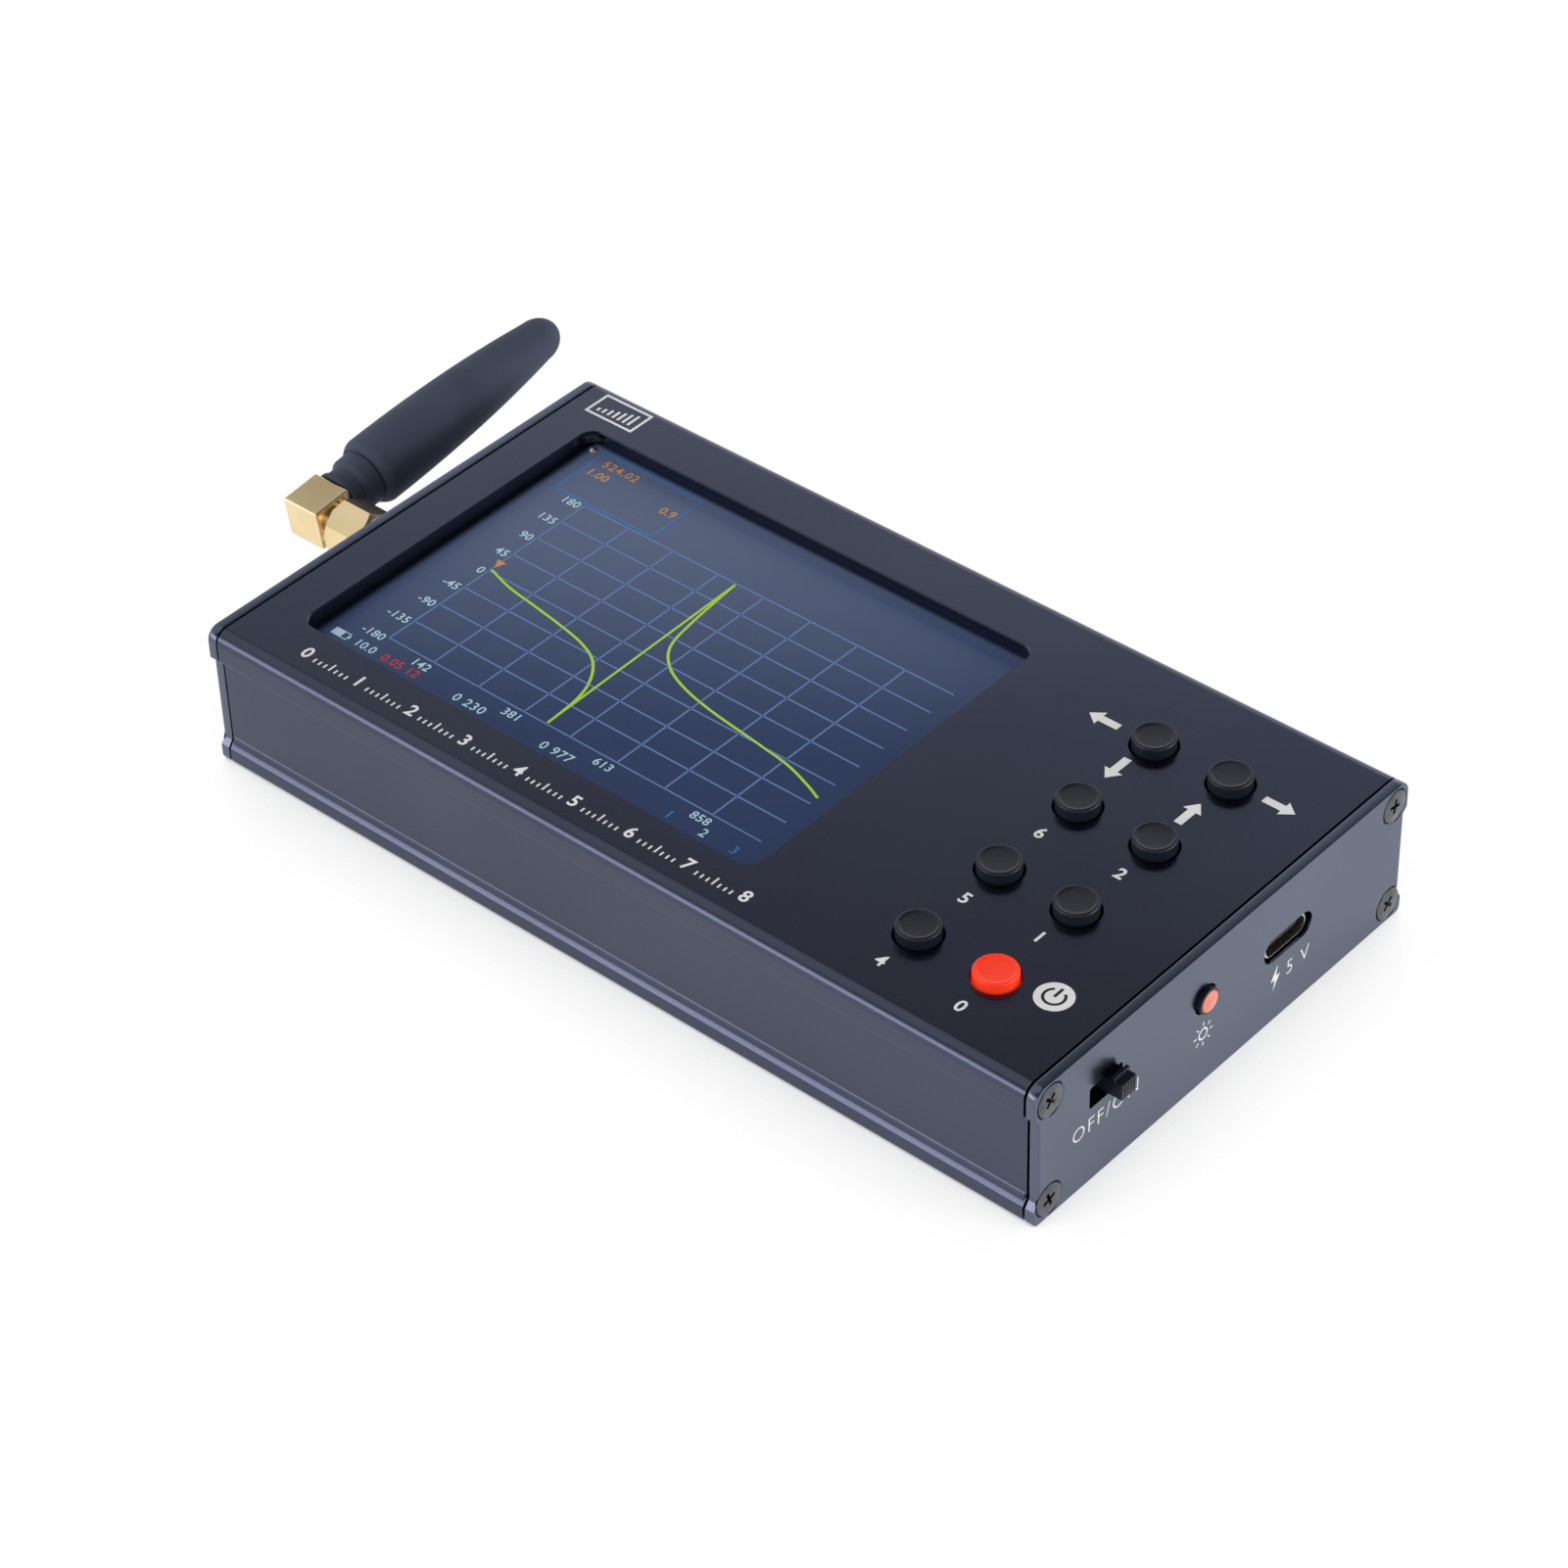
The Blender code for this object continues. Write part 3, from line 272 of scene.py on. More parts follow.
def shade(piece, angle):
    """Smooth shading that stays crisp at edges sharper than the angle."""
    form = bmesh.new()
    form.from_mesh(piece.data)
    bmesh.ops.remove_doubles(form, verts=form.verts[:], dist=0.0000004)
    form.verts.sort(key=lambda corner: corner.co.dot(sorting_way))
    form.faces.sort(key=lambda face: face.calc_center_median().dot(sorting_way))
    for face in form.faces:
        face.smooth = True
    for edge in form.edges:
        edge.smooth = edge.calc_face_angle(0) < math.radians(angle)
    form.to_mesh(piece.data)
    form.free()
    lead = piece.modifiers.new("flat_faces_lead", 'WEIGHTED_NORMAL')
    lead.keep_sharp = True
    set_down(piece)


def fit(piece, body, finish, nodes=(), angle=32.0):
    """Shading, finish and body of a new piece, and the nodes that it stands for."""
    shade(piece, angle)
    piece.data.materials.clear()
    piece.data.materials.append(finish)
    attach(piece, body)
    if nodes:
        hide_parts(*nodes)
    return piece


# Finishes


def new_group(name, inputs, outputs):
    """Empty shader group with its sockets, and its two end nodes."""
    tree = bpy.data.node_groups.new(name, 'ShaderNodeTree')
    for label, kind, value in inputs:
        socket = tree.interface.new_socket(name=label, in_out='INPUT', socket_type=kind)
        if value is not None:
            socket.default_value = value
    for label, kind in outputs:
        tree.interface.new_socket(name=label, in_out='OUTPUT', socket_type=kind)
    return tree, tree.nodes.new('NodeGroupInput'), tree.nodes.new('NodeGroupOutput')


def math_node(tree, operation, first, second=None):
    node = tree.nodes.new('ShaderNodeMath')
    node.operation = operation
    for slot, value in enumerate((first, second)):
        if value is None:
            continue
        if isinstance(value, (int, float)):
            node.inputs[slot].default_value = value
        else:
            tree.links.new(value, node.inputs[slot])
    return node.outputs[0]


def ramp_node(tree, value, low, high, start=0.0, end=1.0):
    """Value mapped smoothly from low..high to start..end."""
    node = tree.nodes.new('ShaderNodeMapRange')
    node.interpolation_type = 'SMOOTHSTEP'
    for label, number in (("From Min", low), ("From Max", high), ("To Min", start),
                          ("To Max", end)):
        node.inputs[label].default_value = number
    tree.links.new(value, node.inputs["Value"])
    return node.outputs["Result"]


def mix_node(tree, factor, first, second):
    """Colour mixed from two colours or colour sockets by a factor socket."""
    node = tree.nodes.new('ShaderNodeMix')
    node.data_type = 'RGBA'
    tree.links.new(factor, node.inputs["Factor"])
    for slot, value in ((6, first), (7, second)):
        if isinstance(value, tuple):
            node.inputs[slot].default_value = (*value, 1.0)
        else:
            tree.links.new(value, node.inputs[slot])
    return node.outputs[2]


def noise_node(tree, vector, scale, detail):
    node = tree.nodes.new('ShaderNodeTexNoise')
    node.inputs["Detail"].default_value = detail
    tree.links.new(vector, node.inputs["Vector"])
    tree.links.new(scale, node.inputs["Scale"])
    return node


def grain_group():
    """Fine even grain: a height for the bump and for the spread of the gloss."""
    tree, start, end = new_group(
        "fine_grain",
        [("Vector", 'NodeSocketVector', None), ("Scale", 'NodeSocketFloat', 4000.0)],
        [("Height", 'NodeSocketFloat')])
    noise = noise_node(tree, start.outputs["Vector"], start.outputs["Scale"], 3.0)
    noise.inputs["Roughness"].default_value = 0.55
    tree.links.new(noise.outputs[0], end.inputs["Height"])
    return tree


def drift_group():
    """Slow drift between two tones over the length of a piece."""
    tree, start, end = new_group(
        "tone_drift",
        [("Vector", 'NodeSocketVector', None), ("Scale", 'NodeSocketFloat', 60.0),
         ("Tone", 'NodeSocketColor', (0.1, 0.1, 0.1, 1.0)),
         ("Other Tone", 'NodeSocketColor', (0.2, 0.2, 0.2, 1.0))],
        [("Color", 'NodeSocketColor')])
    noise = noise_node(tree, start.outputs["Vector"], start.outputs["Scale"], 2.0)
    mask = ramp_node(tree, noise.outputs[0], 0.3, 0.7)
    colour = mix_node(tree, mask, start.outputs["Tone"], start.outputs["Other Tone"])
    tree.links.new(colour, end.inputs["Color"])
    return tree


def drawn_lines_group():
    """Faint lines left along X by the extrusion die."""
    tree, start, end = new_group(
        "drawn_lines",
        [("Vector", 'NodeSocketVector', None), ("Scale", 'NodeSocketFloat', 3000.0)],
        [("Height", 'NodeSocketFloat')])
    stretch = tree.nodes.new('ShaderNodeVectorMath')
    stretch.operation = 'MULTIPLY'
    stretch.inputs[1].default_value = (0.02, 1.0, 1.0)
    tree.links.new(start.outputs["Vector"], stretch.inputs[0])
    noise = noise_node(tree, stretch.outputs[0], start.outputs["Scale"], 2.0)
    tree.links.new(noise.outputs[0], end.inputs["Height"])
    return tree


def pixel_group():
    """Square picture cells of a screen: bright middles with dark gaps between them."""
    tree, start, end = new_group(
        "pixel_cells",
        [("Vector", 'NodeSocketVector', None), ("Pitch", 'NodeSocketFloat', pixel_pitch)],
        [("Mask", 'NodeSocketFloat')])
    parts = tree.nodes.new('ShaderNodeSeparateXYZ')
    tree.links.new(start.outputs["Vector"], parts.inputs[0])
    sides = []
    for axis in ("X", "Y"):
        cell = math_node(tree, 'DIVIDE', parts.outputs[axis], start.outputs["Pitch"])
        share = math_node(tree, 'FRACT', cell)
        centred = math_node(tree, 'ABSOLUTE', math_node(tree, 'SUBTRACT', share, 0.5))
        sides.append(ramp_node(tree, centred, 0.32, 0.48, 1.0, 0.0))
    tree.links.new(math_node(tree, 'MULTIPLY', sides[0], sides[1]), end.inputs["Mask"])
    return tree


class Workshop:
    """The shared effects, each made once before the first material."""

    grain = None
    drift = None
    lines = None
    pixels = None


def prepare_effects():
    Workshop.grain = grain_group()
    Workshop.drift = drift_group()
    Workshop.lines = drawn_lines_group()
    Workshop.pixels = pixel_group()


def new_finish(name):
    """Material with its shader and the object coordinates that its patterns read."""
    material = bpy.data.materials.new(name)
    material.use_nodes = True
    tree = material.node_tree
    place = tree.nodes.new('ShaderNodeTexCoord').outputs["Object"]
    return material, tree, tree.nodes["Principled BSDF"], place


def effect(tree, group, place, **values):
    node = tree.nodes.new('ShaderNodeGroup')
    node.node_tree = group
    tree.links.new(place, node.inputs["Vector"])
    for label, value in values.items():
        socket = node.inputs[label.replace("_", " ")]
        socket.default_value = (*value, 1.0) if isinstance(value, tuple) else value
    return node


def bump(tree, shader, height, strength, distance):
    node = tree.nodes.new('ShaderNodeBump')
    node.inputs["Strength"].default_value = strength
    node.inputs["Distance"].default_value = distance
    tree.links.new(height, node.inputs["Height"])
    tree.links.new(node.outputs["Normal"], shader.inputs["Normal"])


def grain_gloss(tree, shader, place, scale, low, high):
    """Spreads the gloss along a fine grain and gives back the height of the grain."""
    height = effect(tree, Workshop.grain, place, Scale=scale).outputs["Height"]
    tree.links.new(ramp_node(tree, height, 0.3, 0.7, low, high), shader.inputs["Roughness"])
    return height


def paint(tree, shader, colour, glow=0.0):
    """Colour of a surface, and its glow in the same colour where there is one."""
    tree.links.new(colour, shader.inputs["Base Color"])
    if glow:
        tree.links.new(colour, shader.inputs["Emission Color"])
        shader.inputs["Emission Strength"].default_value = glow


def surface(name, tone, other_tone, roughness, metallic=0.0, drift_scale=60.0, grain_scale=4000.0,
            grain_depth=0.00001, grain_strength=0.2, rough_spread=0.06, specular=0.5, coat=0.0,
            lines=0.0, glow=0.0):
    """Finish with two drifting tones, grain in its gloss and a fine bump."""
    material, tree, shader, place = new_finish(name)
    drift = effect(tree, Workshop.drift, place, Scale=drift_scale, Tone=tone,
                   Other_Tone=other_tone)
    paint(tree, shader, drift.outputs["Color"], glow)
    height = grain_gloss(tree, shader, place, grain_scale, roughness - rough_spread,
                         roughness + rough_spread)
    if lines:
        streaks = effect(tree, Workshop.lines, place, Scale=2500.0)
        deep = math_node(tree, 'MULTIPLY', streaks.outputs["Height"], lines)
        height = math_node(tree, 'ADD', height, deep)
    bump(tree, shader, height, grain_strength, grain_depth)
    shader.inputs["Metallic"].default_value = metallic
    shader.inputs["Specular IOR Level"].default_value = specular
    shader.inputs["Coat Weight"].default_value = coat
    return material


def anodised_finish(name, tone, other_tone, lines):
    """Dyed anodised aluminium: a satin metal that mirrors in a deep blue grey."""
    return surface(name, tone, other_tone, 0.23, metallic=1.0, drift_scale=25.0,
                   grain_scale=5200.0, grain_depth=0.000006, grain_strength=0.25,
                   rough_spread=0.04, lines=lines)


def gold_finish():
    return surface("gold_plate", (0.88, 0.69, 0.38), (0.93, 0.75, 0.45), 0.24, metallic=1.0,
                   drift_scale=220.0, grain_scale=1500.0, grain_depth=0.000001,
                   rough_spread=0.012)


def rubber_finish():
    return surface("moulded_rubber", (0.076, 0.092, 0.138), (0.088, 0.106, 0.158), 0.62,
                   drift_scale=90.0, grain_scale=5000.0, grain_depth=0.00002,
                   grain_strength=0.35, specular=0.13)


def key_finish():
    return surface("key_rubber", (0.012, 0.016, 0.026), (0.017, 0.022, 0.034), 0.34,
                   drift_scale=180.0, grain_scale=6000.0, grain_depth=0.000012,
                   grain_strength=0.25, rough_spread=0.05, specular=0.35)


def red_key_finish():
    """Bright red moulding with a painted glow: the key gives off light of its own, though it is no
    lamp.
    """
    return surface("red_key_painted_glow", (0.97, 0.038, 0.011), (1.0, 0.055, 0.018), 0.34,
                   drift_scale=250.0, grain_scale=4500.0, grain_depth=0.000006,
                   rough_spread=0.05, specular=0.3, glow=0.38)


def screw_finish():
    return surface("blackened_screw", (0.085, 0.088, 0.100), (0.125, 0.130, 0.145), 0.27,
                   metallic=0.9, drift_scale=700.0, grain_scale=5000.0,
                   grain_depth=0.000006, rough_spread=0.08)


def ink_finish():
    # The white ink glows a little: painted light that brightens the print.
    return surface("white_ink_painted_glow", (0.90, 0.90, 0.89), (0.97, 0.97, 0.96), 0.45, drift_scale=300.0,
                   grain_scale=9000.0, grain_depth=0.000004, rough_spread=0.05, specular=0.3,
                   glow=0.16)


def lens_finish():
    """Lit screen under its cover: navy that pales towards the far corner, a painted reflection of
    the brighter studio beyond, and a dark edge that is partly the screen's black rim and partly
    painted shade under the walls of the window.
    """
    material, tree, shader, place = new_finish("lit_screen")
    parts = tree.nodes.new('ShaderNodeSeparateXYZ')
    tree.links.new(place, parts.inputs[0])
    # The navy pales from the near right to the far left: a painted reflection of the brighter
    # studio, put into the screen's colour and glow.
    reflection_slope = math_node(tree, 'ADD', math_node(tree, 'MULTIPLY', parts.outputs["X"], -0.58),
                      parts.outputs["Y"])
    share = ramp_node(tree, reflection_slope, -0.012, 0.050)
    glow_and_painted_reflection = mix_node(tree, share, (0.0085, 0.025, 0.081), (0.067, 0.090, 0.162))
    cells = effect(tree, Workshop.pixels, place, Pitch=pixel_pitch)
    gap = ramp_node(tree, cells.outputs["Mask"], 0.0, 1.0, 0.12, 0.0)
    glow_and_painted_reflection = mix_node(tree, gap, glow_and_painted_reflection, (0.0, 0.0, 0.0))
    from_middle = math_node(tree, 'ADD', parts.outputs["X"], -screen_middle * METRES)
    across = math_node(tree, 'ABSOLUTE', from_middle)
    along = math_node(tree, 'ABSOLUTE', parts.outputs["Y"])
    # The dark edge is partly the screen's black rim and partly painted shade where the window's
    # walls stand over the screen.
    rim_and_shade_x = ramp_node(tree, across, 0.0390, 0.0406)
    rim_and_shade_y = ramp_node(tree, along, 0.0286, 0.0298)
    rim_and_painted_shade = math_node(tree, 'MAXIMUM', rim_and_shade_x, rim_and_shade_y)
    colour = mix_node(tree, rim_and_painted_shade, glow_and_painted_reflection, (0.002, 0.003, 0.006))
    paint(tree, shader, colour, 0.6)
    height = grain_gloss(tree, shader, place, 2500.0, 0.30, 0.37)
    bump(tree, shader, height, 0.05, 0.000002)
    shader.inputs["Specular IOR Level"].default_value = 0.3
    return material


def screen_ink(name, colour, glow=0.25):
    """Lit marks of the screen, broken up by its picture cells."""
    material, tree, shader, place = new_finish(name)
    cells = effect(tree, Workshop.pixels, place, Pitch=pixel_pitch)
    dim = tuple(0.72 * part for part in colour)
    paint(tree, shader, mix_node(tree, cells.outputs["Mask"], dim, colour), glow)
    shader.inputs["Roughness"].default_value = 0.3
    shader.inputs["Specular IOR Level"].default_value = 0.2
    return material


def lamp_finish():
    return surface("lamp_lens", (0.78, 0.19, 0.12), (0.88, 0.26, 0.18), 0.30, drift_scale=600.0,
                   grain_depth=0.000006, coat=0.3, glow=0.25)


def board_finish():
    """Green solder mask over tracks, with tinned pads."""
    material, tree, shader, place = new_finish("solder_mask")
    tracks = tree.nodes.new('ShaderNodeTexVoronoi')
    tracks.distance = 'MANHATTAN'
    tracks.feature = 'F2'
    tracks.inputs["Scale"].default_value = 260.0
    tree.links.new(place, tracks.inputs["Vector"])
    track = ramp_node(tree, tracks.outputs["Distance"], 0.62, 0.72)
    pads = tree.nodes.new('ShaderNodeTexVoronoi')
    pads.inputs["Scale"].default_value = 420.0
    tree.links.new(place, pads.inputs["Vector"])
    pad = ramp_node(tree, pads.outputs["Distance"], 0.14, 0.11, 0.0, 1.0)
    colour = mix_node(tree, track, (0.012, 0.060, 0.030), (0.022, 0.115, 0.052))
    colour = mix_node(tree, pad, colour, (0.62, 0.60, 0.56))
    paint(tree, shader, colour)
    tree.links.new(pad, shader.inputs["Metallic"])
    grain_gloss(tree, shader, place, 3000.0, 0.26, 0.38)
    bump(tree, shader, track, 0.2, 0.00003)
    return material


# Case pieces


def both_sides(half):
    """Whole outline in (y, z) from its right half."""
    return half + [(-y, z) for y, z in reversed(half)]


def both_edges(rounds):
    """The same rounding for a long edge and for its twin on the other side."""
    return [([(y, z), (-y, z)], width, segments) for (y, z), width, segments in rounds]


def add_form(form, other, place):
    """Puts one shape at its place inside another."""
    bmesh.ops.transform(other, matrix=place, verts=other.verts[:])
    mesh = bpy.data.meshes.new("added")
    other.to_mesh(mesh)
    other.free()
    form.from_mesh(mesh)
    bpy.data.meshes.remove(mesh)


def add_port_pair(form, height, radius, half_length):
    """Two long rods along X, one at each side of a shell."""
    for side in (port_side, -port_side):
        add_form(form, rod(radius, -half_length, half_length, 36),
                 ALONG_X @ move_to(side, height, 0))


def join_port_rods(shell, height):
    """Thickens a shell along both sides, where its end screws go in."""
    form = bmesh.new()
    add_port_pair(form, height, port_radius, port_rod_end)
    carve(shell, piece_of("port_rods", form), 'UNION')


def lower_case(finish):
    """Channel with its foot beads, recessed sides, board slots and screw ports."""
    half = [(case_side, 0), (case_side, bead_top), (recess_side, recess_foot),
            (recess_side, channel_rim), (wall_inner, channel_rim), (wall_inner, 11.9),
            (slot_side, 11.9), (slot_side, 11.0), (wall_inner, 11.0), (wall_inner, 8.8),
            (slot_side, 8.8), (slot_side, 7.9), (wall_inner, 7.9), (wall_inner, 1.5)]
    rounds = foot_rounds + [((recess_side, channel_rim), 0.15, 3)]
    form = drawn(both_sides(half), -shell_end, shell_end, both_edges(rounds))
    shell = piece_of("lower_case", form, ALONG_X)
    join_port_rods(shell, lower_port)
    form = bmesh.new()
    add_port_pair(form, lower_port, bore_radius, past_the_ends)
    carve(shell, piece_of("port_bores", form))
    return fit(shell, "instrument", finish, ["lower_shell"])


def window_tool():
    """Rounded opening for the screen that flares at the top into a fine chamfer."""
    length = window_ends[1] - window_ends[0]
    flare = 0.23
    form = rounded_plate(length + 2 * flare, 2 * (window_side + flare), window_corner + flare,
                         case_top + 0.03, case_top + 2, 0, 10)
    form.faces.ensure_lookup_table()
    under = min(form.faces, key=lambda face: face.calc_center_median().z)
    bmesh.ops.inset_region(form, faces=[under], thickness=flare, use_even_offset=True)
    bmesh.ops.translate(form, verts=under.verts[:], vec=(0, 0, -flare))
    draw_out(form, under, -7)
    form.faces.remove(under)
    return form


def add_key_hole_tool(form, x, y):
    """Round hole for a key with a fine chamfer at the top."""
    radius = 3.35
    flared = 3.50
    hole = spun([(0, 19), (radius, 19), (radius, case_top - 0.12), (flared, case_top + 0.03),
                 (flared, 26), (0, 26)], 48)
    add_form(form, hole, move_to(x, y, 0))


def lid_openings():
    """Screw bores, window and key holes as one tool, so that the lid is cut only once."""
    form = bmesh.new()
    add_port_pair(form, upper_port, bore_radius, past_the_ends)
    add_form(form, window_tool(), move_to((window_ends[0] + window_ends[1]) / 2, 0, 0))
    for x in key_columns:
        for y in key_rows:
            add_key_hole_tool(form, x, y)
    bmesh.ops.recalc_face_normals(form, faces=form.faces[:])
    return piece_of("lid_openings", form)


def upper_case(finish):
    """Lid with rounded long edges, inner lips, screw ports, the window and the key holes."""
    outside = both_sides([(seam_side, seam), (case_side, shoulder), (case_side, case_top)])
    inside = both_sides([(lip_outer, seam), (lip_outer, lip_foot), (lip_inner, lip_foot),
                         (lip_inner, roof_inner)])
    rounds = roof_rounds + [((case_side, shoulder), 0.14, 2)]
    form = drawn(outside + inside[::-1], -shell_end, shell_end, both_edges(rounds))
    shell = piece_of("upper_case", form, ALONG_X)
    join_port_rods(shell, upper_port)
    carve(shell, lid_openings())
    return fit(shell, "instrument", finish, ["upper_shell"])


def end_cover(name, side, openings, finish, node):
    """Plate over one end: chamfered rim, four countersinks and its own openings."""
    half = [(case_side, case_top), (case_side, shoulder), (seam_side, seam), (recess_side, 17.2),
            (recess_side, recess_foot), (case_side, bead_top), (case_side, 0)]
    rounds = both_edges(roof_rounds + foot_rounds)
    facing = FACING[side]
    plate = piece_of(name, drawn(both_sides(half), plate_inner, plate_face, rounds, 0.2), facing)
    for y in (port_side, -port_side):
        for z in (lower_port, upper_port):
            sink = spun([(0, 1), (3.7, 1), (2.7, 0), (1.5, -1.3), (1.5, -3), (0, -3)], 40)
            carve(plate, piece_of("sink", sink, move_to(side * plate_face, y, z) @ facing))
    for opening in openings:
        carve(plate, opening)
    return fit(plate, "instrument", finish, [node])


def plate_opening(width, height, radius, spot):
    form = rounded_plate(width, height, radius, -3, 3, 0, 8)
    return piece_of("plate_opening", form, move_to(plate_face, *spot) @ ALONG_X)


def socket_end(finish):
    """End plate with the openings for the charging socket, the lamp and the switch."""
    openings = [plate_opening(10.3, 4.0, 1.995, socket_spot),
                plate_opening(4.5, 4.5, 2.245, lamp_spot),
                plate_opening(6.6, 3.5, 0.4, switch_spot)]
    return end_cover("socket_end_cover", 1, openings, finish, "usb_end_plate")


def antenna_end(finish):
    openings = [piece_of("hole", rod(3.4, 60, 80), connector_place())]
    return end_cover("antenna_end_cover", -1, openings, finish, "antenna_end_plate")


def cross_tool(place):
    """One bar of a screw's cross recess, narrower at its foot."""
    form = block((-1.35, -0.275, -1.0), (1.35, 0.275, 0.5))
    for corner in form.verts:
        if corner.co.z < -0.5:
            corner.co.x *= 0.5
            corner.co.y *= 0.8
    return piece_of("cross_tool", form, place)


def end_screws(finish):
    """Countersunk screws with a tapered cross, each turned its own way."""
    for name, side in (("usb_end_screw", 1), ("antenna_end_screw", -1)):
        facing = FACING[side]
        for number in range(1, 5):
            node = f"{name}_{number}"
            low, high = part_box(node)
            middle = (Vector(low) + Vector(high)) / 2 / METRES
            place = move_to(side * plate_face, middle.y, middle.z) @ facing
            form = spun([(0, 0), (2.4, 0), (2.4, -0.12), (1.2, -1.3), (1.2, -7.4), (0.7, -8.0),
                         (0, -8.0)], 40, [(1, 0.1, 2)])
            screw = piece_of(f"{node}_head", form, place)
            turn = place @ Matrix.Rotation(math.radians(17 + 31 * number), 4, 'Z')
            carve(screw, cross_tool(turn))
            carve(screw, cross_tool(turn @ Matrix.Rotation(math.pi / 2, 4, 'Z')))
            fit(screw, "instrument", finish, [node])


# Keys, lamp, switch and socket


def push_keys(black, red):
    """Slightly dished keys with a rounded rim, a flange under the lid and a leg below."""
    names = ["key_power", "key_1", "key_2", "key_3", "key_4", "key_5", "key_6", "key_7"]
    for number, node in enumerate(names):
        power = node == "key_power"
        low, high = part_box(node)
        top = high[2] / METRES
        foot = low[2] / METRES
        form = spun([(0, top - 0.14), (2.35, top - 0.14), (2.62, top), (3.05, top), (3.05, 20.2),
                     (3.9, 20.2), (3.9, 19.2), (2.8, 19.2), (2.8, 18.0), (1.7, 18.0),
                     (1.7, foot), (0, foot)], 72,
                    [(1, 0.2, 4), (2, 0.1, 3), (3, 0.38, 6), (5, 0.15, 2), (6, 0.15, 2),
                     (10, 0.2, 3)])
        place = move_to(key_columns[number // 4], key_rows[number % 4], 0)
        cap = piece_of(f"{node}_cap", form, place)
        fit(cap, f"{node}_body",
            red if power else black, [node])


def lamp(collar_finish, front_finish):
    """Signal lamp: a salmon front held in a dark sleeve."""
    about = move_to(plate_face, *lamp_spot) @ ALONG_X
    collar = spun([(1.15, 0.25), (1.62, 0.25), (1.62, 0.72), (1.95, 0.72), (1.95, -4.2),
                   (1.15, -4.2), (1.15, 0.25)], 48, [(3, 0.12, 3)])
    fit(piece_of("lamp_sleeve", collar, about), "instrument", collar_finish,
        ["lamp_collar"])
    lens = spun([(0, 0.9), (1.6, 0.84), (1.6, 0.3), (1.1, 0.3), (1.1, -4.2), (0, -4.2)], 48,
                [(1, 0.15, 4)])
    fit(piece_of("lamp_front", lens, about), "instrument", front_finish,
        ["lamp_lens"])


def window_pin(finish):
    """Small bright pin head in the far left corner of the window: it stands in for the highlight
    on the window's rounded corner there, a painted highlight.
    """
    head = spun([(0, 0), (0.75, 0), (0.75, 0.35), (0.3, 0.55), (0, 0.55)], 24, [(2, 0.1, 2)])
    place = move_to(-62.3, 27.7, lens_top)
    return fit(piece_of("window_pin", head, place), "instrument", finish)


def slide_control(finish):
    """Switch knob with a stepped grip."""
    low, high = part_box("slide_knob")
    near, far = low[1] / METRES, high[1] / METRES
    knob = piece_of("slide_grip", block((68.3, near, 12.95), (75.0, far, 15.55), 0.18, 3))
    ridge = block((73.3, near, 14.2), (73.9, far, 16.25), 0.15, 3)
    carve(knob, piece_of("ridge", ridge), 'UNION')
    for step in range(4):
        y = near + 0.6 + 0.6 * step
        groove = block((74.86, y - 0.1, 12.5), (75.4, y + 0.1, 15.9))
        carve(knob, piece_of("groove", groove))
    fit(knob, "power_slider", finish, ["slide_knob"])


def charging_socket(steel, insulator, gold):
    """Drawn metal shell of the socket, its tongue and the contacts on both faces of it."""
    about = move_to(0, *socket_spot) @ ALONG_X
    shell = piece_of("socket_shell", rounded_plate(8.9, 3.26, 1.62, 64.6, 72.0, 0.1), about)
    carve(shell, piece_of("mouth", rounded_plate(8.3, 2.66, 1.32, 60, 75), about))
    fit(shell, "instrument", steel, ["usb_shell"])
    root = piece_of("socket_tongue", rounded_plate(7.7, 2.06, 1.02, 64.9, 66.8, 0.05), about)
    tongue = rounded_plate(6.6, 0.7, 0.2, 66, 71.4, 0.1)
    carve(root, piece_of("tongue", tongue, about), 'UNION')
    fit(root, "instrument", insulator, ["usb_tongue"])
    strips = bmesh.new()
    for number in range(12):
        for face in (-1, 1):
            strip = bmesh.ops.create_cube(strips, size=1.0)
            bmesh.ops.scale(strips, verts=strip["verts"], vec=(0.28, 0.04, 3.6))
            bmesh.ops.translate(strips, verts=strip["verts"],
                                vec=(-2.75 + 0.5 * number, 0.36 * face, 69.3))
    fit(piece_of("socket_contacts", strips, about), "instrument", gold)


# Connector and antenna


def whip_place():
    turn = Matrix.Rotation(-(math.pi / 2 - antenna_tilt), 4, 'X')
    return move_to(elbow_x, connector_side, connector_height) @ turn


def connector_place():
    return move_to(0, connector_side, connector_height) @ AGAINST_X


def rubber_stub(finish):
    """Stub with its foot, waist, collar, wide shoulder and long taper to a round tip."""
    profile = [(0, 6.4), (2.5, 6.4), (2.5, 3.65), (3.9, 3.65), (3.9, 4.25), (3.55, 4.6),
               (3.55, 6.2), (4.2, 7.0), (4.25, 9.15), (4.0, 9.25), (4.0, 9.45), (4.6, 9.5),
               (5.35, 10.6)]
    for step in range(1, 17):
        share = step / 16
        profile.append((5.35 - 2.05 * share ** 2.2, 10.7 + 35.3 * share))
    for step in range(1, 9):
        angle = math.radians(10 * step)
        profile.append((3.3 * math.cos(angle), 46.0 + 4.1 * math.sin(angle)))
    profile.append((0, 50.1))
    form = spun(profile, 72, [(3, 0.12, 2), (4, 0.12, 2), (7, 0.15, 3), (8, 0.10, 2),
                              (12, 0.5, 4)])
    return fit(piece_of("rubber_stub", form, whip_place()), "antenna", finish,
               ["antenna_whip"])


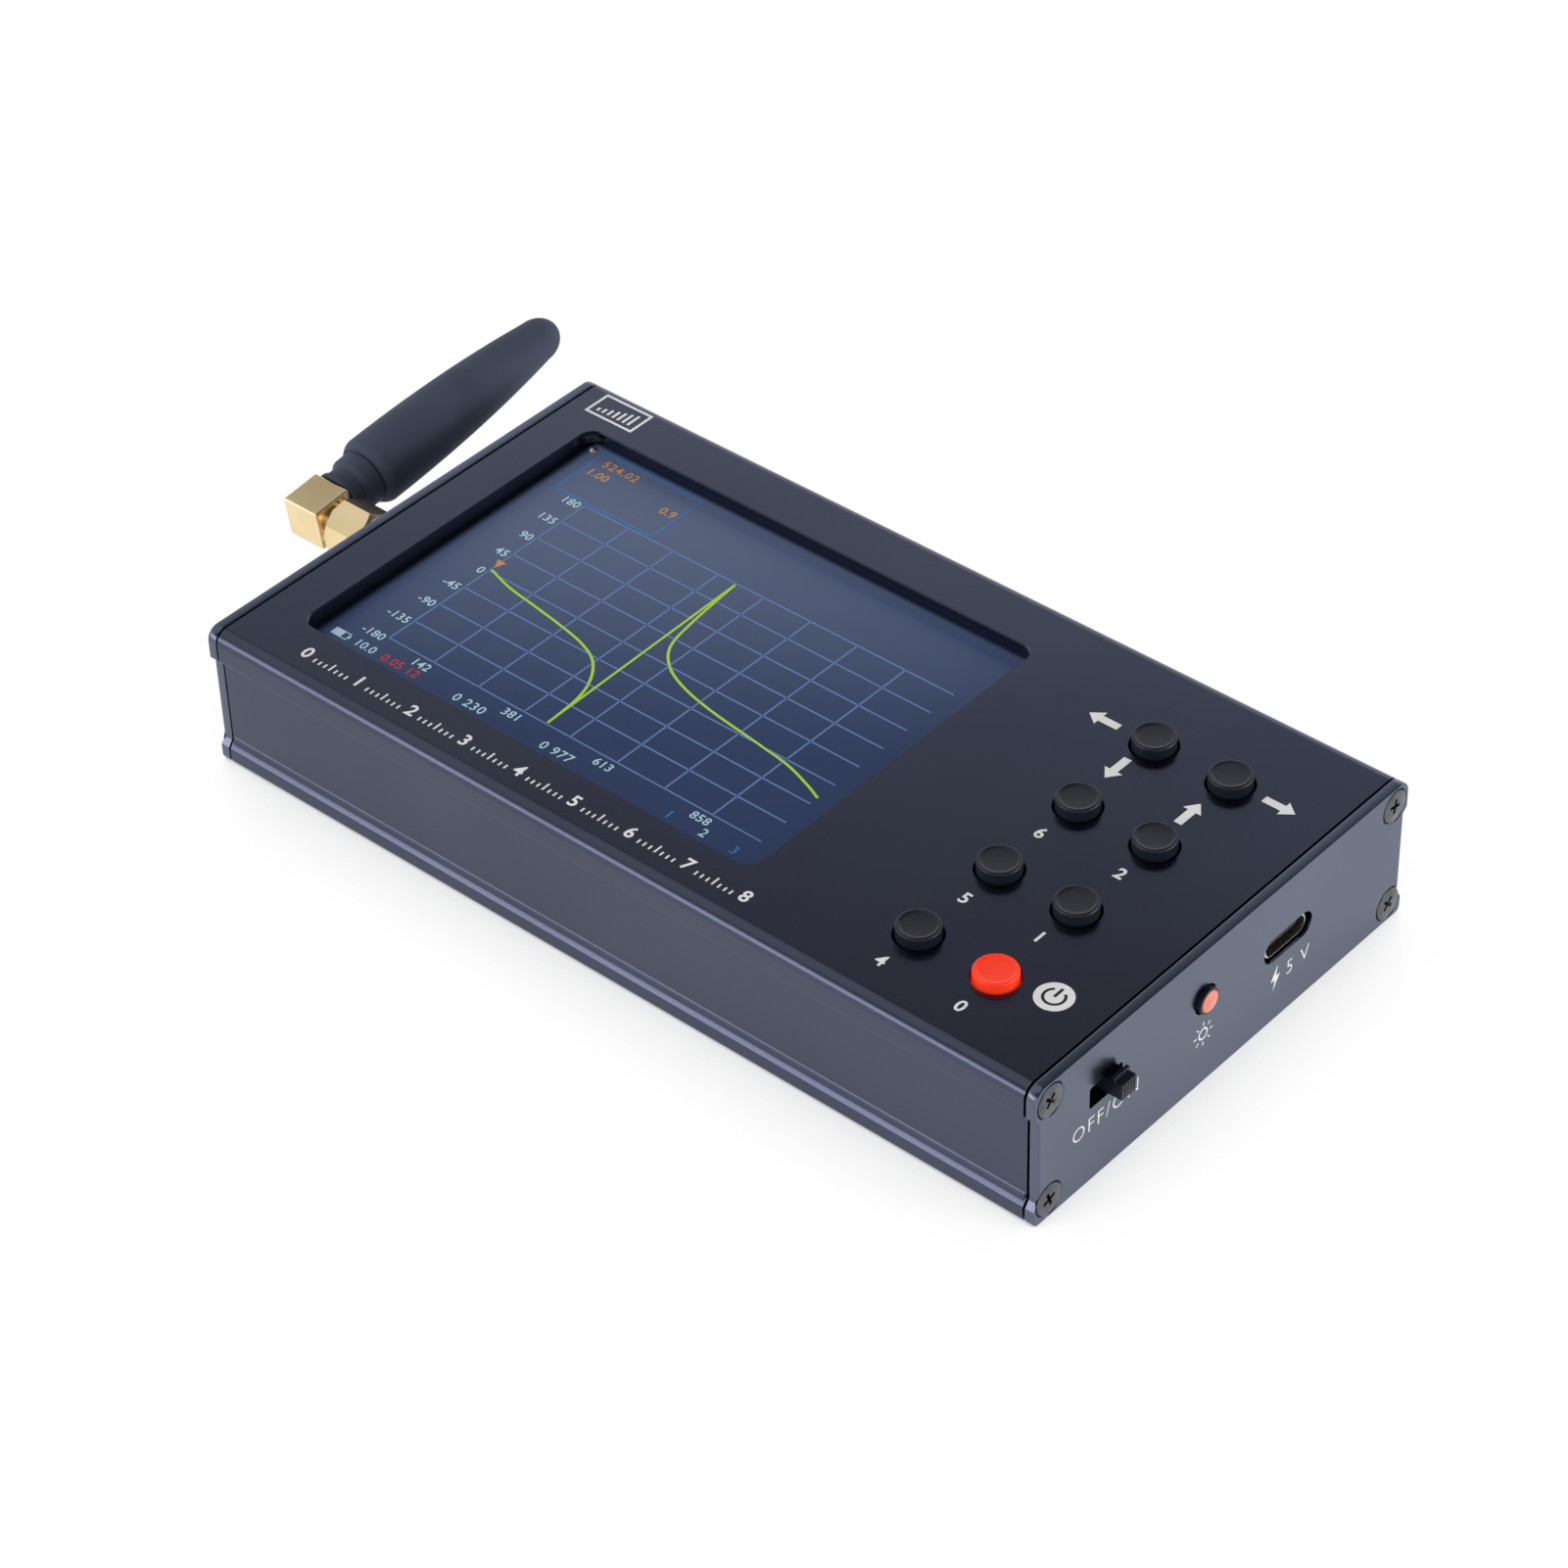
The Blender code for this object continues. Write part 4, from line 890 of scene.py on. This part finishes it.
def right_angle_elbow(finish):
    """Milled block with its flanged neck towards the jack and its spigot up the stub."""
    side = 6.7 / 2
    body = piece_of("right_angle_elbow",
                    block((-side, -side, -side), (side, side, side), 0.3, 3), whip_place())
    axis = connector_place()
    neck = spun([(0, 81.8), (3.1, 81.8), (3.1, 82.3), (2.6, 82.3), (2.6, 87.0), (0, 87.0)])
    carve(body, piece_of("neck", neck, axis), 'UNION')
    carve(body, piece_of("spigot", rod(2.2, 0, 6.35), whip_place()), 'UNION')
    carve(body, piece_of("bore", rod(0.75, 80, 83.8, 24), axis))
    return fit(body, "antenna", finish, ["antenna_elbow"])


def hexagon_nut(name, low, high, chamfer, bore):
    """Hexagon nut whose corners are turned off at both ends."""
    corner_radius = nut_flats / math.sqrt(3)
    form = bmesh.new()
    bmesh.ops.create_circle(form, cap_ends=True, radius=corner_radius, segments=6)
    form.faces.ensure_lookup_table()
    raise_face(form, form.faces[0], high - low)
    bmesh.ops.translate(form, verts=form.verts[:], vec=(0, 0, low))
    axis = connector_place()
    nut = piece_of(name, form, axis)
    corner = corner_radius + 0.05
    lathe = spun([(0, low), (3.85, low), (corner, low + chamfer), (corner, high - chamfer),
                  (3.85, high), (0, high)], 96)
    carve(nut, piece_of("lathe", lathe, axis), 'INTERSECT')
    hole = spun([(0, low - 1), (bore + 0.4, low - 0.1), (bore, low + 0.3), (bore, high - 0.3),
                 (bore + 0.4, high + 0.1), (0, high + 1)], 64)
    carve(nut, piece_of("hole", hole, axis))
    return nut


def captive_nut(finish):
    """Coupling nut: thread at the jack's end, a small lip that holds the elbow's flange."""
    nut = hexagon_nut("captive_nut", 77.0, 83.4, 0.7, 2.9)
    carve(nut, piece_of("relief", rod(3.4, 76, 82.5, 64), connector_place()))
    return fit(nut, "coupling", finish, ["coupling_nut"])


def threaded_jack(finish):
    """Jack body behind the plate, and its barrel with fine grooves in place of the thread."""
    low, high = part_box("rf_jack")
    axis = connector_place()
    thread = 3.1
    root = 2.85
    profile = [(0, 69.0), (thread, 69.0)]
    crest = 72.8
    while crest < 80.9:
        profile += [(thread, crest), (root, crest + 0.22), (root, crest + 0.34),
                    (thread, crest + 0.56)]
        crest += 0.68
    profile += [(thread, 81.3), (2.95, 81.5), (2.45, 81.5), (2.3, 81.35), (2.3, 74.5), (0, 74.5)]
    barrel = piece_of("threaded_jack", spun(profile, 64), axis)
    base = block((-70.6, low[1] / METRES, low[2] / METRES), (-67.1, high[1] / METRES,
                                                            high[2] / METRES), 0.2, 2)
    carve(barrel, piece_of("base", base), 'UNION')
    return fit(barrel, "instrument", finish, ["rf_jack"])


def toothed_washer(finish):
    """Lock washer between the plate and the nut, as a plain ring."""
    form = spun([(3.4, 0.3), (4.4, 0.3), (4.4, 0.8), (3.4, 0.8), (3.4, 0.3)], 64)
    place = move_to(-plate_face, connector_side, connector_height) @ AGAINST_X
    washer = piece_of("toothed_washer", form, place)
    return fit(washer, "instrument", finish, ["jack_washer"])


# Screen and printing


def cover_lens(finish):
    form = rounded_plate(86.2, 62.7, 1.2, lens_bottom, lens_top, 0.15)
    return fit(piece_of("cover_lens", form, move_to(screen_middle, 0, 0)), "instrument",
               finish, ["display_lens"])


class Print:
    """Thin flat marks gathered into one mesh, in millimetres on their own plane."""

    def __init__(self, thickness=0.03):
        self.form = bmesh.new()
        self.thickness = thickness

    def shape(self, corners):
        face = self.form.faces.new([self.form.verts.new((x, y, 0)) for x, y in corners])
        raise_face(self.form, face, self.thickness)

    def bar(self, x0, y0, x1, y1, width):
        """Straight stroke of one width between two points."""
        along = Vector((x1 - x0, y1 - y0)).normalized()
        side = Vector((-along.y, along.x)) * width / 2
        ends = (Vector((x0, y0)), Vector((x1, y1)))
        corners = [ends[0] - side, ends[1] - side, ends[1] + side, ends[0] + side]
        self.shape([(corner.x, corner.y) for corner in corners])

    def frame(self, x0, y0, x1, y1, width):
        """Rectangular line; the upright strokes end a hair short of the level ones."""
        half = width / 2
        short = half + 0.002
        self.bar(x0 - half, y0, x1 + half, y0, width)
        self.bar(x0 - half, y1, x1 + half, y1, width)
        self.bar(x0, y0 + short, x0, y1 - short, width)
        self.bar(x1, y0 + short, x1, y1 - short, width)

    def stroke(self, points, width):
        """Smooth line through points, drawn as a flattened tube."""
        curve = bpy.data.curves.new("stroke", 'CURVE')
        curve.dimensions = '3D'
        curve.bevel_depth = width / 2
        curve.bevel_resolution = 1
        curve.use_fill_caps = True
        spline = curve.splines.new('POLY')
        spline.points.add(len(points) - 1)
        for spot, (x, y) in zip(spline.points, points):
            spot.co = (x, y, 0, 1)
        self.take(curve, Matrix.Diagonal((1, 1, self.thickness / width, 1)))

    def figures(self, text, x, y, height, align='LEFT', bold=0.0, spread=1.0):
        """Line of plain figures of the given cap height, its foot at (x, y)."""
        curve = bpy.data.curves.new("figures", 'FONT')
        curve.body = text
        curve.size = 1.0
        curve.align_x = align
        curve.extrude = 0.5
        curve.offset = bold
        curve.space_character = spread
        curve.resolution_u = 3
        scale = height / 0.69
        self.take(curve, move_to(x, y, 0) @ Matrix.Diagonal((scale, scale, self.thickness, 1)))

    def take(self, curve, place):
        """Adds a curve or a text to the marks as a mesh."""
        holder = bpy.data.objects.new("drawing", curve)
        bpy.context.scene.collection.objects.link(holder)
        bpy.context.view_layer.update()
        seen = holder.evaluated_get(bpy.context.evaluated_depsgraph_get())
        mesh = bpy.data.meshes.new_from_object(seen)
        mesh.transform(place)
        self.form.from_mesh(mesh)
        bpy.data.objects.remove(holder, do_unlink=True)
        bpy.data.meshes.remove(mesh)
        bpy.data.curves.remove(curve)

    def lay(self, name, place, finish):
        """Puts the marks in their place as one finished piece."""
        piece = piece_of(name, self.form, place)
        return fit(piece, "instrument", finish, angle=40.0)


def on_screen(lift=0.0):
    return move_to(0, 0, lens_top + 0.005 + lift)


def on_lid():
    return move_to(0, 0, case_top + 0.002)


def on_end():
    return move_to(plate_face + 0.002, 0, 0) @ ALONG_X


def screen_grid(finish):
    """Lines of the graph; the far right side stays open."""
    line = 0.27
    ink = Print(0.02)
    for number in range(grid_cells + 1):
        x = grid_left + (grid_right - grid_left) * number / grid_cells
        y = grid_near + (grid_far - grid_near) * number / grid_cells
        if number < grid_cells:
            ink.bar(x, grid_near, x, grid_far, line)
        ink.bar(grid_left, y, grid_right, y, line)
    ink.lay("screen_grid", on_screen(), finish)


def curved_through(points, parts=6):
    """Points of a smooth line that passes through all the given ones."""
    smooth = []
    for number in range(len(points) - 1):
        before = Vector(points[max(number - 1, 0)])
        first = Vector(points[number])
        second = Vector(points[number + 1])
        after = Vector(points[min(number + 2, len(points) - 1)])
        for part in range(parts):
            t = part / parts
            spot = 0.5 * (2 * first + (second - before) * t
                          + (2 * before - 5 * first + 4 * second - after) * t * t
                          + (3 * first - before - 3 * second + after) * t ** 3)
            smooth.append((spot.x, spot.y))
    smooth.append(tuple(points[-1]))
    return smooth


def screen_trace(finish):
    """Measured curve: it falls to the grid's foot, springs to its top and falls again."""
    falling = [(-53.9, -2.1), (-49.2, -3.5), (-43.3, -4.4), (-37.7, -5.3), (-32.8, -6.4),
               (-29.0, -8.3), (-26.3, -11.8), (-25.0, -16.0), (-24.6, -21.9)]
    again = [(-25.3, 16.8), (-24.3, 7.1), (-23.0, 0.9), (-20.0, -2.6), (-15.6, -4.7),
             (-9.6, -6.1), (-1.4, -7.2), (5.8, -8.2), (10.7, -9.7), (13.6, -10.9)]
    ink = Print(0.03)
    ink.stroke(curved_through(falling), 0.42)
    ink.bar(-24.6, -21.9, -25.3, 16.8, 0.36)
    ink.stroke(curved_through(again), 0.42)
    ink.lay("screen_trace", on_screen(0.012), finish)


def screen_figures(pale, orange, red, blue):
    """Plain numbers round the grid, in the readout and along the near edge."""
    rows = ["180", "135", "90", "45", "0", "-45", "-90", "-135", "-180"]
    step = (grid_far - grid_near) / grid_cells
    ink = Print(0.025)
    for number, text in enumerate(rows):
        y = grid_far - number * step
        ink.figures(text, grid_left - 0.5, y - 1.2, 1.45, 'RIGHT', 0.01, 1.05)
    for text, x in (("142", -44.9), ("381", -27.9), ("613", -11.2), ("858", 6.1)):
        ink.figures(text, x, grid_near - 2.2, 1.45, 'RIGHT', 0.01, 1.05)
    ink.figures("10.0", -57.2, -26.3, 1.45, 'LEFT', 0.01, 1.05)
    for text, x in (("0 230", -38.4), ("0 977", -22.3), ("2", 6.2)):
        ink.figures(text, x, screen_foot, 1.55, 'LEFT', 0.01, 1.12)
    ink.frame(-61.3, -26.3, -58.6, -25.0, 0.16)
    ink.shape([(-61.2, -26.2), (-59.6, -26.2), (-59.6, -25.1), (-61.2, -25.1)])
    ink.bar(-58.4, -25.9, -58.4, -25.4, 0.3)
    ink.lay("screen_figures", on_screen(), pale)
    warm = Print(0.025)
    warm.figures("524.02", -58.9, 25.7, 1.5, 'LEFT', 0.01, 1.12)
    warm.figures("1.00", -59.6, 23.0, 1.5, 'LEFT', 0.01, 1.05)
    warm.figures("0.9", -42.4, 22.6, 1.5, 'RIGHT', 0.01, 1.05)
    warm.shape([(-54.9, 0.2), (-53.3, 0.2), (-54.0, -1.5)])
    warm.lay("screen_readout_figures", on_screen(), orange)
    alert = Print(0.025)
    alert.figures("0.05 12", -52.0, screen_foot, 1.5, 'LEFT', 0.01, 1.05)
    alert.lay("screen_alert_figures", on_screen(), red)
    cool = Print(0.025)
    cool.frame(-60.45, 17.8, -41.9, 28.4, 0.22)
    for text, x in (("1", 0.2), ("3", 11.6)):
        cool.figures(text, x, screen_foot, 1.5, 'LEFT', 0.01, 1.05)
    cool.lay("screen_readout_frame", on_screen(), blue)


def arrow(ink, x, y, turn):
    """Block arrow 5 mm long with its middle at (x, y)."""
    tip = 2.5
    barb = tip - 1.9
    outline = [(tip, 0), (barb, 1.45), (barb, 0.62), (-tip, 0.62), (-tip, -0.62),
               (barb, -0.62), (barb, -1.45)]
    spin = Matrix.Rotation(math.radians(turn), 2)
    placed = [spin @ Vector(corner) + Vector((x, y)) for corner in outline]
    ink.shape([(corner.x, corner.y) for corner in placed])


def ring_points(middle, radius, start, sweep, steps):
    """Points of an arc round a middle, from a start angle over a sweep in degrees."""
    x, y = middle
    points = []
    for step in range(steps + 1):
        angle = math.radians(start + sweep * step / steps)
        points.append((x + radius * math.cos(angle), y + radius * math.sin(angle)))
    return points


def lid_printing(finish, dark):
    """White marks of the lid: level frame, number scale, key numbers, arrows and power mark."""
    scale_foot = -34.7
    ink = Print(0.02)
    ink.frame(-67.5, 32.1, -58.9, 36.7, 0.42)
    for number in range(7):
        x = -66.2 + 0.98 * number
        ink.bar(x, 33.0, x, 33.7 + 0.33 * number, 0.42)
    for number in range(9):
        x = -58.0 + 9.9 * number
        ink.figures(str(number), x, scale_foot, 2.1, 'CENTER', 0.02)
        if number < 8:
            for tick in range(2, 9):
                reach = 1.5 if tick == 5 else 0.8
                tick_x = x + 0.99 * tick
                ink.bar(tick_x, scale_foot, tick_x, scale_foot + reach, 0.26)
    for text, x, y in (("6", 42.3, -1.2), ("2", 55.2, -1.0), ("5", 42.9, -17.2),
                       ("1", 54.8, -17.0), ("4", 42.3, -33.0), ("0", 55.3, -33.2)):
        ink.figures(text, x, y, 2.0, 'CENTER', 0.02)
    for x, y, turn in ((34.4, 23.2, 180), (41.8, 16.3, 270), (62.9, 23.5, 0), (54.7, 15.0, 90)):
        arrow(ink, x, y, turn)
    ink.lay("lid_printing", on_lid(), finish)
    disc = piece_of("power_disc", rod(2.65, 0, 0.02), on_lid() @ move_to(*power_mark, 0))
    fit(disc, "instrument", finish, angle=40.0)
    mark = Print(0.02)
    mark.stroke(ring_points(power_mark, 1.45, 125, 290, 24), 0.42)
    x, y = power_mark
    mark.bar(x, y, x, y + 1.8, 0.42)
    mark.lay("power_mark", on_lid() @ move_to(0, 0, 0.022), dark)


def end_printing(finish):
    """White marks of the socket end: switch positions, lamp sign and charge sign."""
    ink = Print(0.02)
    ink.figures("OFF/ON", -24.8, 8.7, 2.3, 'CENTER', -0.012, 1.18)
    ink.stroke(ring_points(lamp_sign, 0.85, 0, 360, 16), 0.28)
    starts = ring_points(lamp_sign, 1.35, 0, 315, 7)
    ends = ring_points(lamp_sign, 2.0, 0, 315, 7)
    for first, last in zip(starts, ends):
        ink.bar(*first, *last, 0.2)
    y, z = charge_sign
    bolt = [(0.45, 2.0), (-1.0, -0.3), (-0.1, -0.3), (-0.45, -2.0), (1.0, 0.3), (0.1, 0.3)]
    ink.shape([(y + across, z + up) for across, up in bolt])
    ink.figures("5 V", 12.9, 6.2, 2.3, 'LEFT', -0.012, 1.15)
    ink.lay("end_printing", on_end(), finish)


# Setting


def ray_seen(tree):
    """1 for a ray from the camera, or one that a mirror or glass passes on, and 0 for others."""
    rays = tree.nodes.new('ShaderNodeLightPath')
    seen = math_node(tree, 'MAXIMUM', rays.outputs["Is Camera Ray"], rays.outputs["Is Glossy Ray"])
    return math_node(tree, 'MAXIMUM', seen, rays.outputs["Is Transmission Ray"])


def floor_material():
    """Pale floor that is seen as plain white, shaded only close round the object."""
    material = bpy.data.materials.new("pale_floor")
    material.use_nodes = True
    tree = material.node_tree
    shader = tree.nodes["Principled BSDF"]
    shader.inputs["Base Color"].default_value = (0.85, 0.85, 0.85, 1.0)
    shader.inputs["Roughness"].default_value = 0.9
    near = tree.nodes.new('ShaderNodeAmbientOcclusion')
    near.inputs["Distance"].default_value = 0.03
    near.samples = 8
    shade_share = ramp_node(tree, near.outputs["AO"], 0.20, 0.72)
    white = tree.nodes.new('ShaderNodeEmission')
    tree.links.new(mix_node(tree, shade_share, (0.50, 0.51, 0.54), (1.0, 1.0, 1.0)),
                   white.inputs["Color"])
    white.inputs["Strength"].default_value = 1.0
    either = tree.nodes.new('ShaderNodeMixShader')
    tree.links.new(ray_seen(tree), either.inputs["Fac"])
    tree.links.new(shader.outputs["BSDF"], either.inputs[1])
    tree.links.new(white.outputs["Emission"], either.inputs[2])
    tree.links.new(either.outputs["Shader"], tree.nodes["Material Output"].inputs["Surface"])
    return material


def share_facing(tree, way, facing, low, high):
    """Share from 0 to 1 of how far a direction leans towards a facing."""
    lean = tree.nodes.new('ShaderNodeVectorMath')
    lean.operation = 'DOT_PRODUCT'
    lean.inputs[1].default_value = facing
    tree.links.new(way, lean.inputs[0])
    return ramp_node(tree, lean.outputs["Value"], low, high)


def studio_air():
    """White low walls all round, a dim ceiling and two soft panels: behind and over the hand."""
    world = bpy.data.worlds.new("studio_air")
    world.use_nodes = True
    tree = world.node_tree
    way = tree.nodes.new('ShaderNodeTexCoord').outputs["Generated"]
    parts = tree.nodes.new('ShaderNodeSeparateXYZ')
    tree.links.new(way, parts.inputs[0])
    behind = share_facing(tree, way, (-0.27, 0.59, -0.76), -0.025, 0.075)
    upper = mix_node(tree, behind, (0.05, 0.052, 0.06), (1.15, 1.16, 1.2))
    over_hand = share_facing(tree, way, (-0.55, -0.15, 0.82), 0.76, 0.94)
    upper = mix_node(tree, over_hand, upper, (0.75, 0.75, 0.75))
    climb = ramp_node(tree, parts.outputs["Z"], 0.40, 0.54)
    colour = mix_node(tree, climb, (1.0, 1.0, 1.0), upper)
    tree.links.new(colour, tree.nodes["Background"].inputs["Color"])
    tree.nodes["Background"].inputs["Strength"].default_value = 1.0
    bpy.context.scene.world = world


def lamp_strip(name, place, width, height, power):
    """Soft lamp turned to the object."""
    data = bpy.data.lights.new(name, 'AREA')
    data.shape = 'RECTANGLE'
    data.size = width
    data.size_y = height
    data.energy = power
    light = bpy.data.objects.new(name, data)
    light.location = place
    aim = Vector((0, 0, 0.01)) - Vector(place)
    light.rotation_euler = aim.to_track_quat('-Z', 'Y').to_euler()
    bpy.context.scene.collection.objects.link(light)


def studio():
    """Floor a hair below the object, the air round it and two soft lamps."""
    form = bmesh.new()
    bmesh.ops.create_grid(form, x_segments=1, y_segments=1, size=4000)
    floor = piece_of("studio_floor", form, move_to(0, 0, -0.02))
    floor.data.materials.append(floor_material())
    studio_air()
    lamp_strip("hand_side_light", (-0.50, -0.85, 0.20), 0.8, 0.3, 2.0)
    lamp_strip("socket_side_light", (0.85, 0.45, 0.20), 0.8, 0.3, 3.0)
    bpy.context.scene.view_settings.view_transform = 'Standard'


def finish_kept(finish, *names):
    """Gives solids that are kept as they are their own finish."""
    for name in names:
        for slot in bpy.data.objects[name].material_slots:
            slot.material = finish


def inner_finishes(gold, steel, black):
    """Finishes of the parts inside the case and of the small parts that are kept."""
    board = board_finish()
    finish_kept(board, "main_board", "display_board")
    finish_kept(steel, "rf_shield", "slide_switch_body", "display_panel")
    finish_kept(gold, "elbow_pin")
    chip = surface("chip_resin", (0.022, 0.022, 0.024), (0.034, 0.034, 0.037), 0.5,
                   drift_scale=900.0, grain_scale=7000.0)
    finish_kept(chip, "detector_chip", "controller_chip", "display_header")
    posts = [f"display_post_{number}" for number in range(1, 5)]
    switches = ["key_switch_power"] + [f"key_switch_{number}" for number in range(1, 8)]
    finish_kept(black, *switches)
    finish_kept(gold, *posts)
    nylon = surface("pale_nylon", (0.74, 0.73, 0.69), (0.82, 0.81, 0.77), 0.42,
                    drift_scale=300.0, grain_depth=0.000006)
    finish_kept(nylon, "battery_plug", "battery_socket", "jack_insulator")
    pouch = surface("battery_pouch", (0.42, 0.43, 0.45), (0.52, 0.53, 0.55), 0.34, metallic=0.85,
                    drift_scale=70.0, grain_scale=900.0, grain_depth=0.00008)
    finish_kept(pouch, "battery_pack")
    finish_kept(surface("red_wire_cover", (0.55, 0.03, 0.02), (0.66, 0.05, 0.03), 0.4),
                "battery_lead_positive")
    finish_kept(surface("black_wire_cover", (0.02, 0.02, 0.02), (0.03, 0.03, 0.03), 0.4),
                "battery_lead_negative")


def build_analyzer():
    """Makes every finish once and then every piece."""
    prepare_effects()
    case = anodised_finish("anodised_case", (0.066, 0.074, 0.112), (0.073, 0.082, 0.124), 0.4)
    # The end plates take a lighter copy of the case's anodised finish: painted light that makes
    # the ends show brighter.
    cover = anodised_finish("anodised_end_painted_light", (0.106, 0.122, 0.176), (0.119, 0.137, 0.196), 0.0)
    gold = gold_finish()
    key = key_finish()
    ink = ink_finish()
    lower_case(case)
    upper_case(case)
    socket_end(cover)
    antenna_end(cover)
    end_screws(screw_finish())
    push_keys(key, red_key_finish())
    steel = surface("drawn_steel", (0.55, 0.54, 0.52), (0.66, 0.65, 0.62), 0.28, metallic=1.0,
                    drift_scale=400.0)
    lamp(key, lamp_finish())
    window_pin(steel)
    slide_control(key)
    charging_socket(steel, key, gold)
    rubber_stub(rubber_finish())
    right_angle_elbow(gold)
    captive_nut(gold)
    lock = hexagon_nut("lock_nut", 73.6, 75.6, 0.45, 3.15)
    fit(lock, "instrument", gold, ["jack_nut"])
    threaded_jack(gold)
    toothed_washer(gold)
    cover_lens(lens_finish())
    screen_grid(screen_ink("screen_lilac", (0.19, 0.30, 0.62), 0.12))
    screen_trace(screen_ink("screen_green", (0.50, 0.78, 0.055)))
    screen_figures(screen_ink("screen_pale", (0.55, 0.80, 0.92)),
                   screen_ink("screen_orange", (0.72, 0.34, 0.10)),
                   screen_ink("screen_red", (0.62, 0.06, 0.08)),
                   screen_ink("screen_blue", (0.06, 0.28, 0.75), 0.15))
    lid_printing(ink, key)
    end_printing(ink)
    inner_finishes(gold, steel, key)
    studio()


stand_camera()
build_analyzer()
